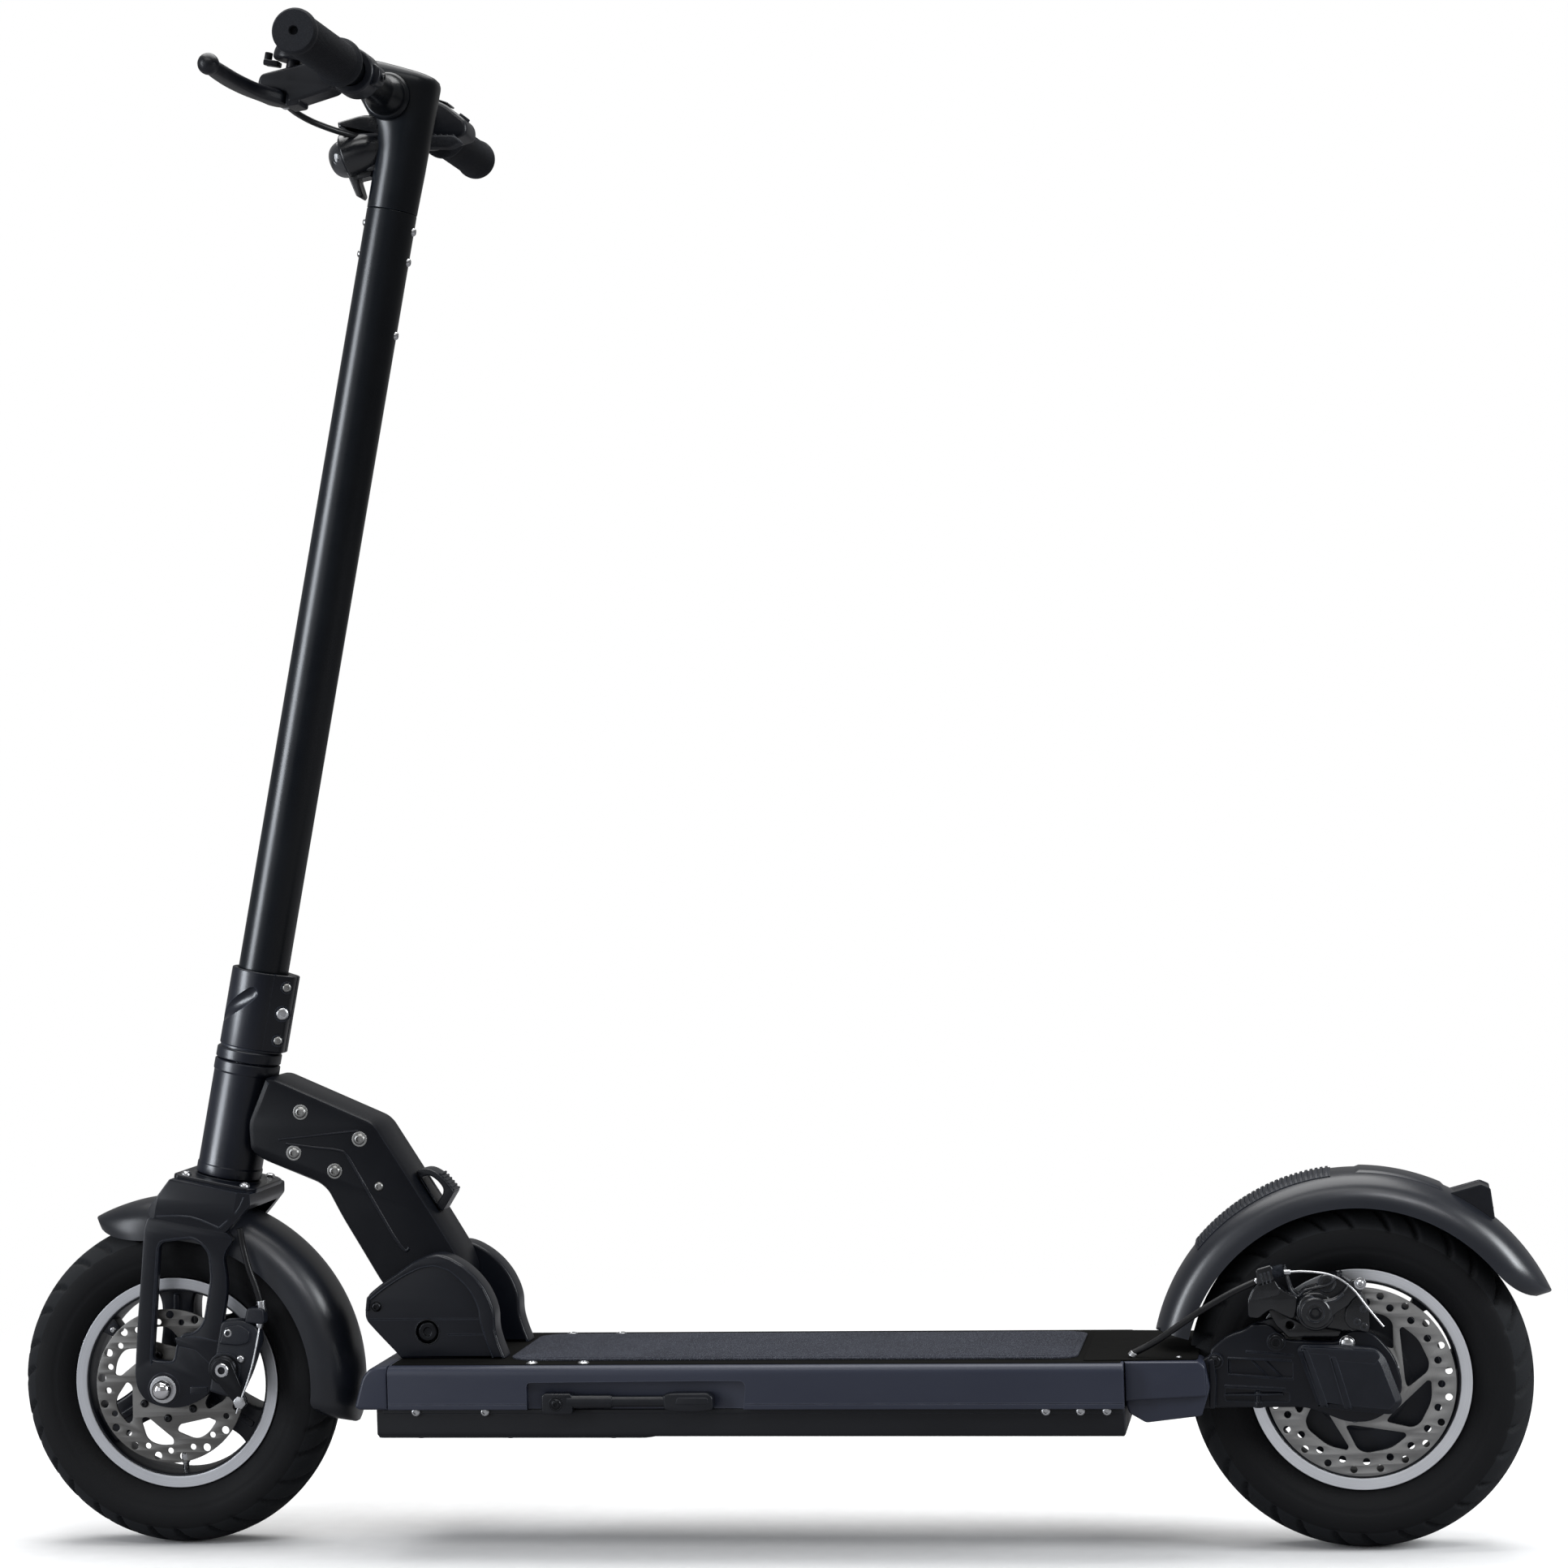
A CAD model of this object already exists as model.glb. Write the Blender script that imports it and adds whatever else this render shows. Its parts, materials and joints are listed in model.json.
"""Electric kick scooter: detailed pieces over the CAD, with materials, floor, lights and camera.

Two design frames are used, both in millimetres:
  WORLD  x runs from front (-) to rear (+), y from left (-) to right (+), z up from the floor.
  FRONT  the steering axis: s runs up the axis from axle height, d across it to the rear, y as above.
"""
import json
import math
import random

import bmesh
import bpy
from mathutils import Matrix, Vector

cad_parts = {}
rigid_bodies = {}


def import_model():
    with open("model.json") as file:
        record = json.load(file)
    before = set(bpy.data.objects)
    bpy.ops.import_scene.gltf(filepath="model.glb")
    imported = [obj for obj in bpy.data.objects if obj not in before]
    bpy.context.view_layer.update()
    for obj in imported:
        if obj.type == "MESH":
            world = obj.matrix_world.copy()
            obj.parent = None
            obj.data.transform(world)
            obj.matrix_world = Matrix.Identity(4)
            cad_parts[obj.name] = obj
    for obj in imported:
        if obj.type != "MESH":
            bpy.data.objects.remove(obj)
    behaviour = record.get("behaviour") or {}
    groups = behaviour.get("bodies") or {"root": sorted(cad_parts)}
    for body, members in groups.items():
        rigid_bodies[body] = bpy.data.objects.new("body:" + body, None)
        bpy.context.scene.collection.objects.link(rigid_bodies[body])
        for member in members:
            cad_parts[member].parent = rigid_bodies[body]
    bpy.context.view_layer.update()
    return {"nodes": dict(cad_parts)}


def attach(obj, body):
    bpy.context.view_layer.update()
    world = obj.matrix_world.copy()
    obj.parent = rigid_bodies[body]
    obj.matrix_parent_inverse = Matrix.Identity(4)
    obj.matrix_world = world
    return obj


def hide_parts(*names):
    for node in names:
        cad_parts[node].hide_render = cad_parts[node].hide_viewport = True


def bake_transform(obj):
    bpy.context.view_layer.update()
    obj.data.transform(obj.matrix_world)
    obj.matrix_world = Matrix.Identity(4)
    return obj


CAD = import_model()
random.seed(7)
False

# ------------------------------------------------------------------ driving dimensions, mm
RAKE = 0.2043                       # lean of the steering axis, radians
HEAD_X = -450.65                    # where the steering axis passes axle height
AXLE_Z = 127.5
FRONT_X, REAR_X = -458.6, 458.6     # axles
AXLE_D = (FRONT_X - HEAD_X) * math.cos(RAKE)    # front axle in the FRONT frame
AXLE_S = (FRONT_X - HEAD_X) * math.sin(RAKE)
BAR_D, BAR_S = -13.5, 1016.5        # centre of the handlebar in the FRONT frame
BAR = (BAR_D, 0, BAR_S)
PIN_X, PIN_Z = -246.1, 171.1        # folding pin
PIVOT_X, PIVOT_Z = 427.7, 184       # pivot of the rear brake arm
DECK_TOP = 150
DECK_HALF = 83
SHIFT_X = -6.88                     # from the middle of the wheelbase to the origin

WORLD = Matrix.Translation((SHIFT_X, 0, 0))
FRONT = Matrix.Translation((HEAD_X + SHIFT_X, 0, AXLE_Z)) @ Matrix.Rotation(RAKE, 4, "Y")
ORIGIN = (0, 0, 0)
ACROSS, UP, DOWN, LEFT = (0, 1, 0), (0, 0, 1), (0, 0, -1), (0, -1, 0)
SIDES = (("left", -1), ("right", 1))


# ------------------------------------------------------------------ shader helpers
def start_material(name):
    mat = bpy.data.materials.new(name)
    mat.use_nodes = True
    return mat, mat.node_tree, mat.node_tree.nodes["Principled BSDF"]


def feed(tree, socket, value):
    """Links a socket to an output, or sets its value."""
    if isinstance(value, bpy.types.NodeSocket):
        tree.links.new(value, socket)
    else:
        socket.default_value = value


def node(tree, kind, inputs=None, **settings):
    new = tree.nodes.new("ShaderNode" + kind)
    for key, value in settings.items():
        setattr(new, key, value)
    for key, value in (inputs or {}).items():
        feed(tree, new.inputs[key], value)
    return new


def calc(tree, operation, *values, **settings):
    math_node = node(tree, "Math", dict(enumerate(values)), operation=operation, **settings)
    return math_node.outputs[0]


def object_coords(tree):
    return node(tree, "TexCoord").outputs["Object"]


def mapped_coords(tree, scale=(1, 1, 1)):
    mapping = node(tree, "Mapping", {"Vector": object_coords(tree), "Scale": scale})
    return mapping.outputs["Vector"]


def noise(tree, vector, scale, detail, roughness=0.5):
    return node(tree, "TexNoise", {"Vector": vector, "Scale": scale, "Detail": detail,
                                   "Roughness": roughness}).outputs["Fac"]


def ramp(tree, source, start, end, first, last):
    new = node(tree, "ValToRGB", {"Fac": source})
    for stop, position, colour in zip(new.color_ramp.elements, (start, end), (first, last)):
        stop.position = position
        stop.color = colour
    return new.outputs["Color"]


def mix(tree, factor, first, second):
    inputs = {"Fac": factor, "Color1": first, "Color2": second}
    return node(tree, "MixRGB", inputs).outputs["Color"]


def remap(tree, value, low, high, start=0.0, end=1.0):
    """Maps start..end to low..high."""
    return node(tree, "MapRange", {"Value": value, "From Min": start, "From Max": end,
                                   "To Min": low, "To Max": high}).outputs["Result"]


def bump(tree, height, strength, distance):
    return node(tree, "Bump", {"Height": height, "Strength": strength,
                               "Distance": distance}).outputs["Normal"]


def hex_colour(code):
    """Linear RGBA from an sRGB hex code."""
    srgb = [int(code[i:i + 2], 16) / 255 for i in (0, 2, 4)]
    return tuple(v / 12.92 if v <= 0.04045 else ((v + 0.055) / 1.055) ** 2.4 for v in srgb) + (1.0,)


def darker(colour, factor):
    return tuple(c * factor for c in colour[:3]) + (1,)


BLACK, WHITE = (0, 0, 0, 1), (1, 1, 1, 1)


def add_specks(tree, vector, colour, speck_colour, scale, size):
    cells = node(tree, "TexVoronoi", {"Vector": vector, "Scale": scale})
    dots = ramp(tree, cells.outputs["Distance"], size, size + 0.12, WHITE, BLACK)
    chance = node(tree, "TexWhiteNoise", {"Vector": cells.outputs["Position"]}).outputs["Value"]
    return mix(tree, calc(tree, "MULTIPLY", dots, chance), colour, hex_colour(speck_colour))


def add_dust(tree, colour, amount):
    """Grey dust on faces that look up."""
    normal = node(tree, "NewGeometry").outputs["Normal"]
    split = node(tree, "SeparateXYZ", {0: normal})
    upward = node(tree, "Clamp", {"Value": split.outputs["Z"]}).outputs[0]
    return mix(tree, calc(tree, "MULTIPLY", upward, amount), colour, hex_colour("8d8b88"))


def add_wear(tree, vector, colour, worn_colour, amount):
    """Broken worn line where a bevelled normal leaves the true one, at the edges."""
    bevel = node(tree, "Bevel", {"Radius": 0.0008}, samples=4)
    geometry = node(tree, "NewGeometry")
    dot = node(tree, "VectorMath", {0: bevel.outputs["Normal"], 1: geometry.outputs["Normal"]},
               operation="DOT_PRODUCT")
    bend = calc(tree, "SUBTRACT", 1.0, dot.outputs["Value"])
    edge = ramp(tree, bend, 0.01, 0.12, BLACK, WHITE)
    broken = calc(tree, "MULTIPLY", edge, noise(tree, vector, 160.0, 4.0))
    return mix(tree, calc(tree, "MULTIPLY", broken, amount), colour, hex_colour(worn_colour))


def finish(name, colour, rough, metal=0.0, coat=0.0, coat_rough=0.12, spec=0.5, grain=900,
           grain_bump=0.05, bump_dist=0.0004, var=0.12, rough_var=0.08, blotch=14,
           stretch=(1, 1, 1), wear=None, wear_amt=0.5, dust=0.0, speck=None):
    """Painted, moulded or machined surface.

    grain and blotch are the scales of the fine and broad noise, var and rough_var the spread of
    colour and roughness, wear the colour of the edges and speck (colour, scale, size) of dots.
    """
    mat, tree, shader = start_material(name)
    vector = mapped_coords(tree, stretch)
    base = hex_colour(colour)
    broad = noise(tree, vector, blotch, 5.0, 0.6)
    fine = noise(tree, vector, grain, 3.0, 0.6)
    light = tuple(min(1, c * (1 + var) + 0.002) for c in base[:3]) + (1,)
    tint = ramp(tree, broad, 0.3, 0.7, darker(base, 1 - var), light)
    if speck:
        tint = add_specks(tree, vector, tint, *speck)
    if dust:
        tint = add_dust(tree, tint, dust)
    if wear:
        tint = add_wear(tree, vector, tint, wear, wear_amt)
    low, high = max(0.03, rough - rough_var), min(1, rough + rough_var)
    spread = remap(tree, broad, low, high, start=0.3, end=0.7)
    grained = calc(tree, "MULTIPLY_ADD", fine, 0.10, spread)
    centred = calc(tree, "SUBTRACT", grained, 0.05, use_clamp=True)
    for key, value in {"Base Color": tint, "Roughness": centred, "Metallic": metal,
                       "Specular IOR Level": spec, "Coat Weight": coat,
                       "Coat Roughness": coat_rough,
                       "Normal": bump(tree, fine, grain_bump, bump_dist)}.items():
        feed(tree, shader.inputs[key], value)
    return mat


def turned_metal(name, colour, rough, axle_x, tool_bump=0.12, rings=2600, stain="4c4a47",
                 stain_amt=0.35):
    """Bare metal with fine circular tool marks about a wheel axle."""
    mat, tree, shader = start_material(name)
    coords = object_coords(tree)
    centre = ((axle_x + SHIFT_X) / 1000, 0, AXLE_Z / 1000)
    offset = node(tree, "VectorMath", {0: coords, 1: centre}, operation="SUBTRACT")
    radial = node(tree, "VectorMath", {0: offset.outputs[0], 1: (1, 0, 1)}, operation="MULTIPLY")
    length = node(tree, "VectorMath", {0: radial.outputs[0]}, operation="LENGTH")
    radius = node(tree, "CombineXYZ", {0: length.outputs["Value"]}).outputs[0]
    marks = noise(tree, radius, float(rings), 2.0)
    cloud = noise(tree, coords, 38.0, 6.0)
    base = hex_colour(colour)
    metal = ramp(tree, marks, 0.25, 0.75, darker(base, 0.72), base)
    stained = ramp(tree, cloud, 0.42, 0.75, BLACK, WHITE)
    tint = mix(tree, calc(tree, "MULTIPLY", stained, stain_amt), metal, hex_colour(stain))
    for key, value in {"Base Color": tint, "Metallic": 1.0,
                       "Roughness": remap(tree, marks, rough - 0.1, rough + 0.14),
                       "Normal": bump(tree, marks, tool_bump, 0.0003)}.items():
        feed(tree, shader.inputs[key], value)
    return mat


def glass(name, colour, rough=0.12, ribbed=False, coat=1.0):
    mat, tree, shader = start_material(name)
    vector = mapped_coords(tree)
    fine = noise(tree, vector, 240.0, 3.0)
    base = hex_colour(colour)
    wave = node(tree, "TexWave", {"Vector": vector, "Scale": 220.0, "Distortion": 0.0},
                bands_direction="Y").outputs["Fac"]
    for key, value in {"Base Color": ramp(tree, fine, 0.3, 0.7, darker(base, 0.8), base),
                       "Roughness": remap(tree, fine, max(0.02, rough - 0.05), rough + 0.08),
                       "Coat Weight": coat, "Coat Roughness": 0.04,
                       "Normal": bump(tree, wave, 0.25 if ribbed else 0.02, 0.0006)}.items():
        feed(tree, shader.inputs[key], value)
    return mat


# ------------------------------------------------------------------ materials
MATERIALS = {
    "paint": finish("black_paint", "080b13", rough=0.33, coat=0.08, spec=0.25, grain=1500,
                    grain_bump=0.12, var=0.10, rough_var=0.05, wear="59606e", wear_amt=0.45,
                    bump_dist=0.0002, coat_rough=0.2),
    "stem": finish("stem_paint", "03060b", rough=0.29, spec=0.22, grain=2200, var=0.10,
                   rough_var=0.03, wear="474c56", wear_amt=0.3, bump_dist=0.0002,
                   coat_rough=0.22),
    "slate": finish("slate_paint", "282c3a", rough=0.40, metal=0.1, coat=0.05, spec=0.40,
                    grain=1600, grain_bump=0.10, var=0.04, rough_var=0.05, wear="7e8390",
                    stretch=(0.5, 1, 1), bump_dist=0.0002),
    "box": finish("tray_paint", "0d0f14", rough=0.5, spec=0.30, grain=1300, grain_bump=0.16,
                  var=0.16, wear="4a4e58", stretch=(0.3, 1, 1), blotch=18),
    "mat": finish("grip_sheet", "303239", rough=0.92, spec=0.08, grain=2600, grain_bump=0.75,
                  var=0.14, rough_var=0.06, bump_dist=0.0008, blotch=30,
                  speck=("8b8e99", 1500, 0.22)),
    "strip": finish("deck_strip", "0b0b0a", rough=0.80, spec=0.04, grain=1100, grain_bump=0.12,
                    var=0.15, blotch=20),
    "fender": finish("fender_plastic", "0d1017", rough=0.33, grain=1500, var=0.10,
                     rough_var=0.03, wear="3d434e", wear_amt=0.35, bump_dist=0.00025,
                     blotch=10, dust=0.01),
    "plastic": finish("housing_plastic", "090c13", rough=0.34, spec=0.35, grain=1200,
                      grain_bump=0.16, var=0.18, wear="3a3f49", wear_amt=0.4,
                      bump_dist=0.0003, blotch=30),
    "neck": finish("neck_paint", "05070d", rough=0.38, coat=0.04, spec=0.15, grain=1500,
                   grain_bump=0.16, rough_var=0.06, wear="4b515d", bump_dist=0.0002,
                   coat_rough=0.25),
    "cast": finish("cast_cover", "0c1019", rough=0.44, spec=0.34, grain_bump=0.30, var=0.18,
                   wear="4b505b", wear_amt=0.6, blotch=26),
    "tyre": finish("tyre_rubber", "08090c", rough=0.70, spec=0.22, grain=1100, grain_bump=0.25,
                   var=0.22, rough_var=0.1, blotch=16, dust=0.01, wear="1e2023"),
    "tread": finish("tread_rubber", "17191c", rough=0.80, spec=0.25, grain=1000,
                    grain_bump=0.35, var=0.22, blotch=20, dust=0.02, wear="303235"),
    "grip": finish("grip_rubber", "191b20", rough=0.80, spec=0.25, grain=1500, grain_bump=0.5,
                   var=0.18, bump_dist=0.0006, blotch=40, speck=("3a3d42", 1900, 0.2)),
    "zinc": finish("zinc_steel", "b9babc", rough=0.27, metal=1.0, grain=1400, grain_bump=0.10,
                   wear="e8e8ea", wear_amt=0.4, blotch=60),
    "darkbolt": finish("black_bolt", "1a1b1e", rough=0.3, metal=0.8, grain=1400,
                       grain_bump=0.10, var=0.15, wear="6a6c70", wear_amt=0.6, blotch=60),
    "gloss": finish("caliper_gloss", "0a0c10", rough=0.22, coat=0.25, spec=0.45, grain=1000,
                    grain_bump=0.25, var=0.18, wear="5a5f69", wear_amt=0.7, bump_dist=0.0003,
                    blotch=60, coat_rough=0.1),
    "zincdull": finish("dull_washer", "8f8f8d", rough=0.38, metal=1.0, grain=1400,
                       grain_bump=0.2, var=0.15, rough_var=0.1, wear="dcdcdc", blotch=70),
    "chrome": finish("polished_nut", "d3d3d4", rough=0.10, metal=1.0, grain_bump=0.02,
                     var=0.05, rough_var=0.03, blotch=40),
    "alu": finish("bare_aluminium", "a9abae", rough=0.34, metal=1.0, grain=1800,
                  grain_bump=0.15, var=0.10, rough_var=0.06, blotch=50),
    "cable": finish("cable_cover", "07080b", rough=0.34, spec=0.35, grain=1500,
                    grain_bump=0.06, var=0.2, blotch=60),
    "wire": finish("steel_wire", "c9cacc", rough=0.3, metal=1.0, grain=3000, grain_bump=0.3,
                   var=0.15, blotch=200),
    "lens": glass("lamp_lens", "24272c", rough=0.14, ribbed=True),
    "red": glass("rear_lens", "8c0f12", rough=0.28, ribbed=True, coat=0.25),
    "screen": glass("display_window", "0a0d10", rough=0.06),
    "battery": finish("battery_wrap", "2b5c8a", rough=0.4, grain=700, grain_bump=0.2),
    "copper": finish("winding_copper", "a8643a", rough=0.4, metal=0.9, grain=700,
                     grain_bump=0.4),
    "rotor_f": turned_metal("rotor_steel_front", "757472", rough=0.42, axle_x=FRONT_X),
    "rotor_r": turned_metal("rotor_steel_rear", "8f8f8e", rough=0.42, axle_x=REAR_X),
    "rim_f": turned_metal("rim_ring_front", "d2d4d8", rough=0.36, axle_x=FRONT_X,
                          tool_bump=0.06, rings=1800, stain_amt=0.12, stain="8a8c90"),
    "rim_r": turned_metal("rim_ring_rear", "d2d4d8", rough=0.36, axle_x=REAR_X,
                          tool_bump=0.06, rings=1800, stain_amt=0.12, stain="8a8c90"),
}


# ------------------------------------------------------------------ outlines
def arc(cx, cy, r, start, end, n):
    """n + 1 points on an arc, angles in degrees."""
    angles = [math.radians(start + (end - start) * i / n) for i in range(n + 1)]
    return [(cx + r * math.cos(a), cy + r * math.sin(a)) for a in angles]


def round_hole(cx, cy, r, n):
    """Circle of n points, clockwise."""
    return arc(cx, cy, r, 0, 360, n)[-2::-1]


def polar(x, r, angle, offset=0.0):
    """Side-view point at a radius and angle about an axle, moved square to the radius."""
    c, s = math.cos(math.radians(angle)), math.sin(math.radians(angle))
    return (x + r * c - offset * s, AXLE_Z + r * s + offset * c)


def on_wheel(x, r, angle, y=0):
    px, pz = polar(x, r, angle)
    return (px, y, pz)


def rounded(points, radius, steps=5, closed=True):
    """Rounds the corners of an outline. radius is one value or one per corner."""
    out = []
    last = len(points) - 1
    for i, point in enumerate(points):
        ri = radius[i] if isinstance(radius, (list, tuple)) else radius
        if (not closed and i in (0, last)) or ri <= 0:
            out.append(tuple(point))
            continue
        before, corner, after = (Vector(points[k]) for k in (i - 1, i, (i + 1) % len(points)))
        a, b = before - corner, after - corner
        la, lb = a.length, b.length
        if la < 1e-6 or lb < 1e-6:
            continue
        reach = min(ri, la * 0.48, lb * 0.48)
        start, end = corner + a * (reach / la), corner + b * (reach / lb)
        for k in range(steps + 1):
            t = k / steps
            c = (1 - t) ** 2 * start + 2 * (1 - t) * t * corner + t * t * end
            out.append((c.x, c.y))
    return out


def without_repeats(points, gap=0.01, closed=True):
    out = []
    for p in points:
        if not out or math.dist(p, out[-1]) > gap:
            out.append(tuple(p))
    if closed and len(out) > 1 and math.dist(out[0], out[-1]) <= gap:
        out.pop()
    return out


def inset(poly, distance):
    """Moves every edge of a closed outline inwards."""
    n = len(poly)
    area = sum(poly[i][0] * poly[(i + 1) % n][1] - poly[(i + 1) % n][0] * poly[i][1]
               for i in range(n))
    turn_sign = 1 if area > 0 else -1
    out = []
    for i in range(n):
        p, q, r = Vector(poly[i - 1]), Vector(poly[i]), Vector(poly[(i + 1) % n])
        a, b = (q - p).normalized(), (r - q).normalized()
        na, nb = Vector((-a.y, a.x)) * turn_sign, Vector((-b.y, b.x)) * turn_sign
        m = na + nb
        m = m.normalized() if m.length > 1e-6 else na
        out.append(tuple(q + m * (distance / max(0.45, m.dot(na)))))
    return out


def smooth_curve(points, steps):
    """Catmull-Rom curve through the points."""
    out = []
    given = [Vector(p) for p in points]
    for i in range(len(given) - 1):
        p0, p1, p2 = given[max(i - 1, 0)], given[i], given[i + 1]
        p3 = given[min(i + 2, len(given) - 1)]
        for j in range(steps):
            t = j / steps
            out.append(0.5 * ((2 * p1) + (p2 - p0) * t + (2 * p0 - 5 * p1 + 4 * p2 - p3) * t * t
                              + (3 * p1 - p0 - 3 * p2 + p3) * t ** 3))
    out.append(given[-1])
    return out


# ------------------------------------------------------------------ solids
class Geo:
    """Vertices and faces, with an optional material index per face."""

    def __init__(self, v=(), f=(), slots=None):
        self.v, self.f, self.slots = list(v), list(f), slots

    def add(self, other):
        k = len(self.v)
        self.v += other.v
        self.f += [tuple(i + k for i in face) for face in other.f]

    def xf(self, matrix):
        return self.map(lambda *p: tuple(matrix @ Vector(p)))

    def map(self, change):
        self.v = [change(*p) for p in self.v]
        return self


def from_mesh(mesh):
    return Geo([tuple(v.co) for v in mesh.vertices], [tuple(p.vertices) for p in mesh.polygons])


def join(*shapes):
    out = Geo()
    for shape in shapes:
        out.add(shape)
    return out


def both(make):
    """Joins make(-1), the left shape, and make(1), the right one."""
    return join(make(-1), make(1))


def span(sign, near, far):
    """Range of y on one side, in rising order."""
    return (-far, -near) if sign < 0 else (near, far)


def evaluated(ob):
    bpy.context.view_layer.update()
    depsgraph = bpy.context.evaluated_depsgraph_get()
    return bpy.data.meshes.new_from_object(ob.evaluated_get(depsgraph))


def slab(outer, holes=(), depth=4.0, bevel=0.8, res=2):
    """A flat plate with rounded edges, centred on z = 0, drawn in x and y."""
    curve = bpy.data.curves.new("slab", "CURVE")
    curve.dimensions = "2D"
    curve.fill_mode = "BOTH"
    for loop in [outer] + list(holes):
        loop = without_repeats(loop)
        line = curve.splines.new("POLY")
        line.points.add(len(loop) - 1)
        for point, (x, y) in zip(line.points, loop):
            point.co = (x, y, 0, 1)
        line.use_cyclic_u = True
    bevel = min(bevel, depth / 2 * 0.95)
    curve.extrude = depth / 2 - bevel
    curve.bevel_depth = bevel
    curve.bevel_resolution = res
    curve.offset = -bevel
    ob = bpy.data.objects.new("slab", curve)
    bpy.context.scene.collection.objects.link(ob)
    mesh = evaluated(ob)
    bm = bmesh.new()
    bm.from_mesh(mesh)
    bmesh.ops.remove_doubles(bm, verts=bm.verts, dist=0.002)
    bmesh.ops.dissolve_degenerate(bm, edges=bm.edges, dist=0.001)
    bmesh.ops.recalc_face_normals(bm, faces=bm.faces)
    bm.to_mesh(mesh)
    bm.free()
    geo = from_mesh(mesh)
    bpy.data.objects.remove(ob)
    bpy.data.curves.remove(curve)
    bpy.data.meshes.remove(mesh)
    return geo


def side(outer, y0, y1, bevel=0.8, holes=(), res=2):
    """Plate drawn in x and z, between y0 and y1."""
    middle = (y0 + y1) / 2
    return slab(outer, holes, y1 - y0, bevel, res).map(lambda x, y, z: (x, middle - z, y))


def plan(outer, z0, z1, bevel=0.8, holes=(), res=2):
    """Plate drawn in x and y, between z0 and z1."""
    middle = (z0 + z1) / 2
    return slab(outer, holes, z1 - z0, bevel, res).map(lambda x, y, z: (x, y, middle + z))


def cross(outer, x0, x1, bevel=0.8, res=2):
    """Section drawn in y and z, between x0 and x1."""
    middle = (x0 + x1) / 2
    return slab(outer, (), x1 - x0, bevel, res).map(lambda x, y, z: (middle + z, x, y))


def aim(direction, at):
    turned = Vector(UP).rotation_difference(Vector(direction).normalized())
    return Matrix.Translation(Vector(at)) @ turned.to_matrix().to_4x4()


def turn(profile, at=ORIGIN, axis=ACROSS, n=64, rad=0.0, seg=4):
    """Turned solid from (radius, height) pairs. A profile clear of the axis closes on itself."""
    closed = profile[0][0] > 1e-6 and profile[-1][0] > 1e-6
    if rad:
        profile = rounded(profile, rad, seg, closed)
    profile = without_repeats(profile, 0.01 if closed else 0.005, closed)
    v, f, rings = [], [], []
    for r, h in profile:
        k = len(v)
        if r < 1e-6:
            rings.append([k])
            v.append((0, 0, h))
        else:
            rings.append(list(range(k, k + n)))
            v += [(r * math.cos(2 * math.pi * i / n), r * math.sin(2 * math.pi * i / n), h)
                  for i in range(n)]
    for j in range(len(rings) if closed else len(rings) - 1):
        a, b = rings[j], rings[(j + 1) % len(rings)]
        for i in range(n):
            i2 = (i + 1) % n
            if len(a) == 1 and len(b) == 1:
                continue
            if len(a) == 1:
                f.append((a[0], b[i2], b[i]))
            elif len(b) == 1:
                f.append((a[i], a[i2], b[0]))
            else:
                f.append((a[i], a[i2], b[i2], b[i]))
    return Geo(v, f).xf(aim(axis, at))


def ring(outer, inner, h0, h1, at, axis=ACROSS, n=64, rad=0.4):
    return turn([(inner, h0), (outer, h0), (outer, h1), (inner, h1)], at, axis, n, rad)


def disc(r, h0, h1, at, axis=ACROSS, n=48, rad=0.4):
    return turn([(0, h0), (r, h0), (r, h1), (0, h1)], at, axis, n, [0, rad, rad, 0])


def loft(sections, n):
    """Closed body through rings of n points."""
    v, f = [], []
    for section in sections:
        v += section
    for i in range(len(sections) - 1):
        for k in range(n):
            k2 = (k + 1) % n
            f.append((i * n + k, i * n + k2, (i + 1) * n + k2, (i + 1) * n + k))
    f.append(tuple(range(n))[::-1])
    f.append(tuple((len(sections) - 1) * n + k for k in range(n)))
    return Geo(v, f)


def tube(points, r, n=16, smooth=6):
    """Round bar along a smooth line through the points. r is one radius or one per point."""
    given = list(r) if isinstance(r, (list, tuple)) else [r] * len(points)
    radii = [given[i] * (1 - k / smooth) + given[i + 1] * (k / smooth)
             for i in range(len(points) - 1) for k in range(smooth)] + [given[-1]]
    line = smooth_curve(points, smooth)
    sections = []
    before = None
    for i, p in enumerate(line):
        t = (line[min(i + 1, len(line) - 1)] - line[max(i - 1, 0)]).normalized()
        if before is None:
            a = t.cross(Vector((0.123, 0.456, 0.88)).normalized()).normalized()
        else:
            a = (before - t * before.dot(t)).normalized()
        before = a
        b = t.cross(a)
        angles = [2 * math.pi * k / n for k in range(n)]
        sections.append([tuple(p + (a * math.cos(q) + b * math.sin(q)) * radii[i])
                         for q in angles])
    return loft(sections, n)


def bead(start, end, y, r):
    """Thin straight rib on a side face, between two (x, z) points."""
    (x0, z0), (x1, z1) = start, end
    return tube([(x0, y, z0), ((x0 + x1) / 2, y, (z0 + z1) / 2), (x1, y, z1)], r, 8, 2)


def side_tube(points, y, r, n, smooth):
    return tube([(x, y, z) for x, z in points], r, n, smooth)


def ball(r, at, n=32):
    profile = [(r * math.sin(math.pi * i / 16) if 0 < i < 16 else 0.0,
                -r * math.cos(math.pi * i / 16)) for i in range(17)]
    return turn(profile, at, UP, n)


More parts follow.
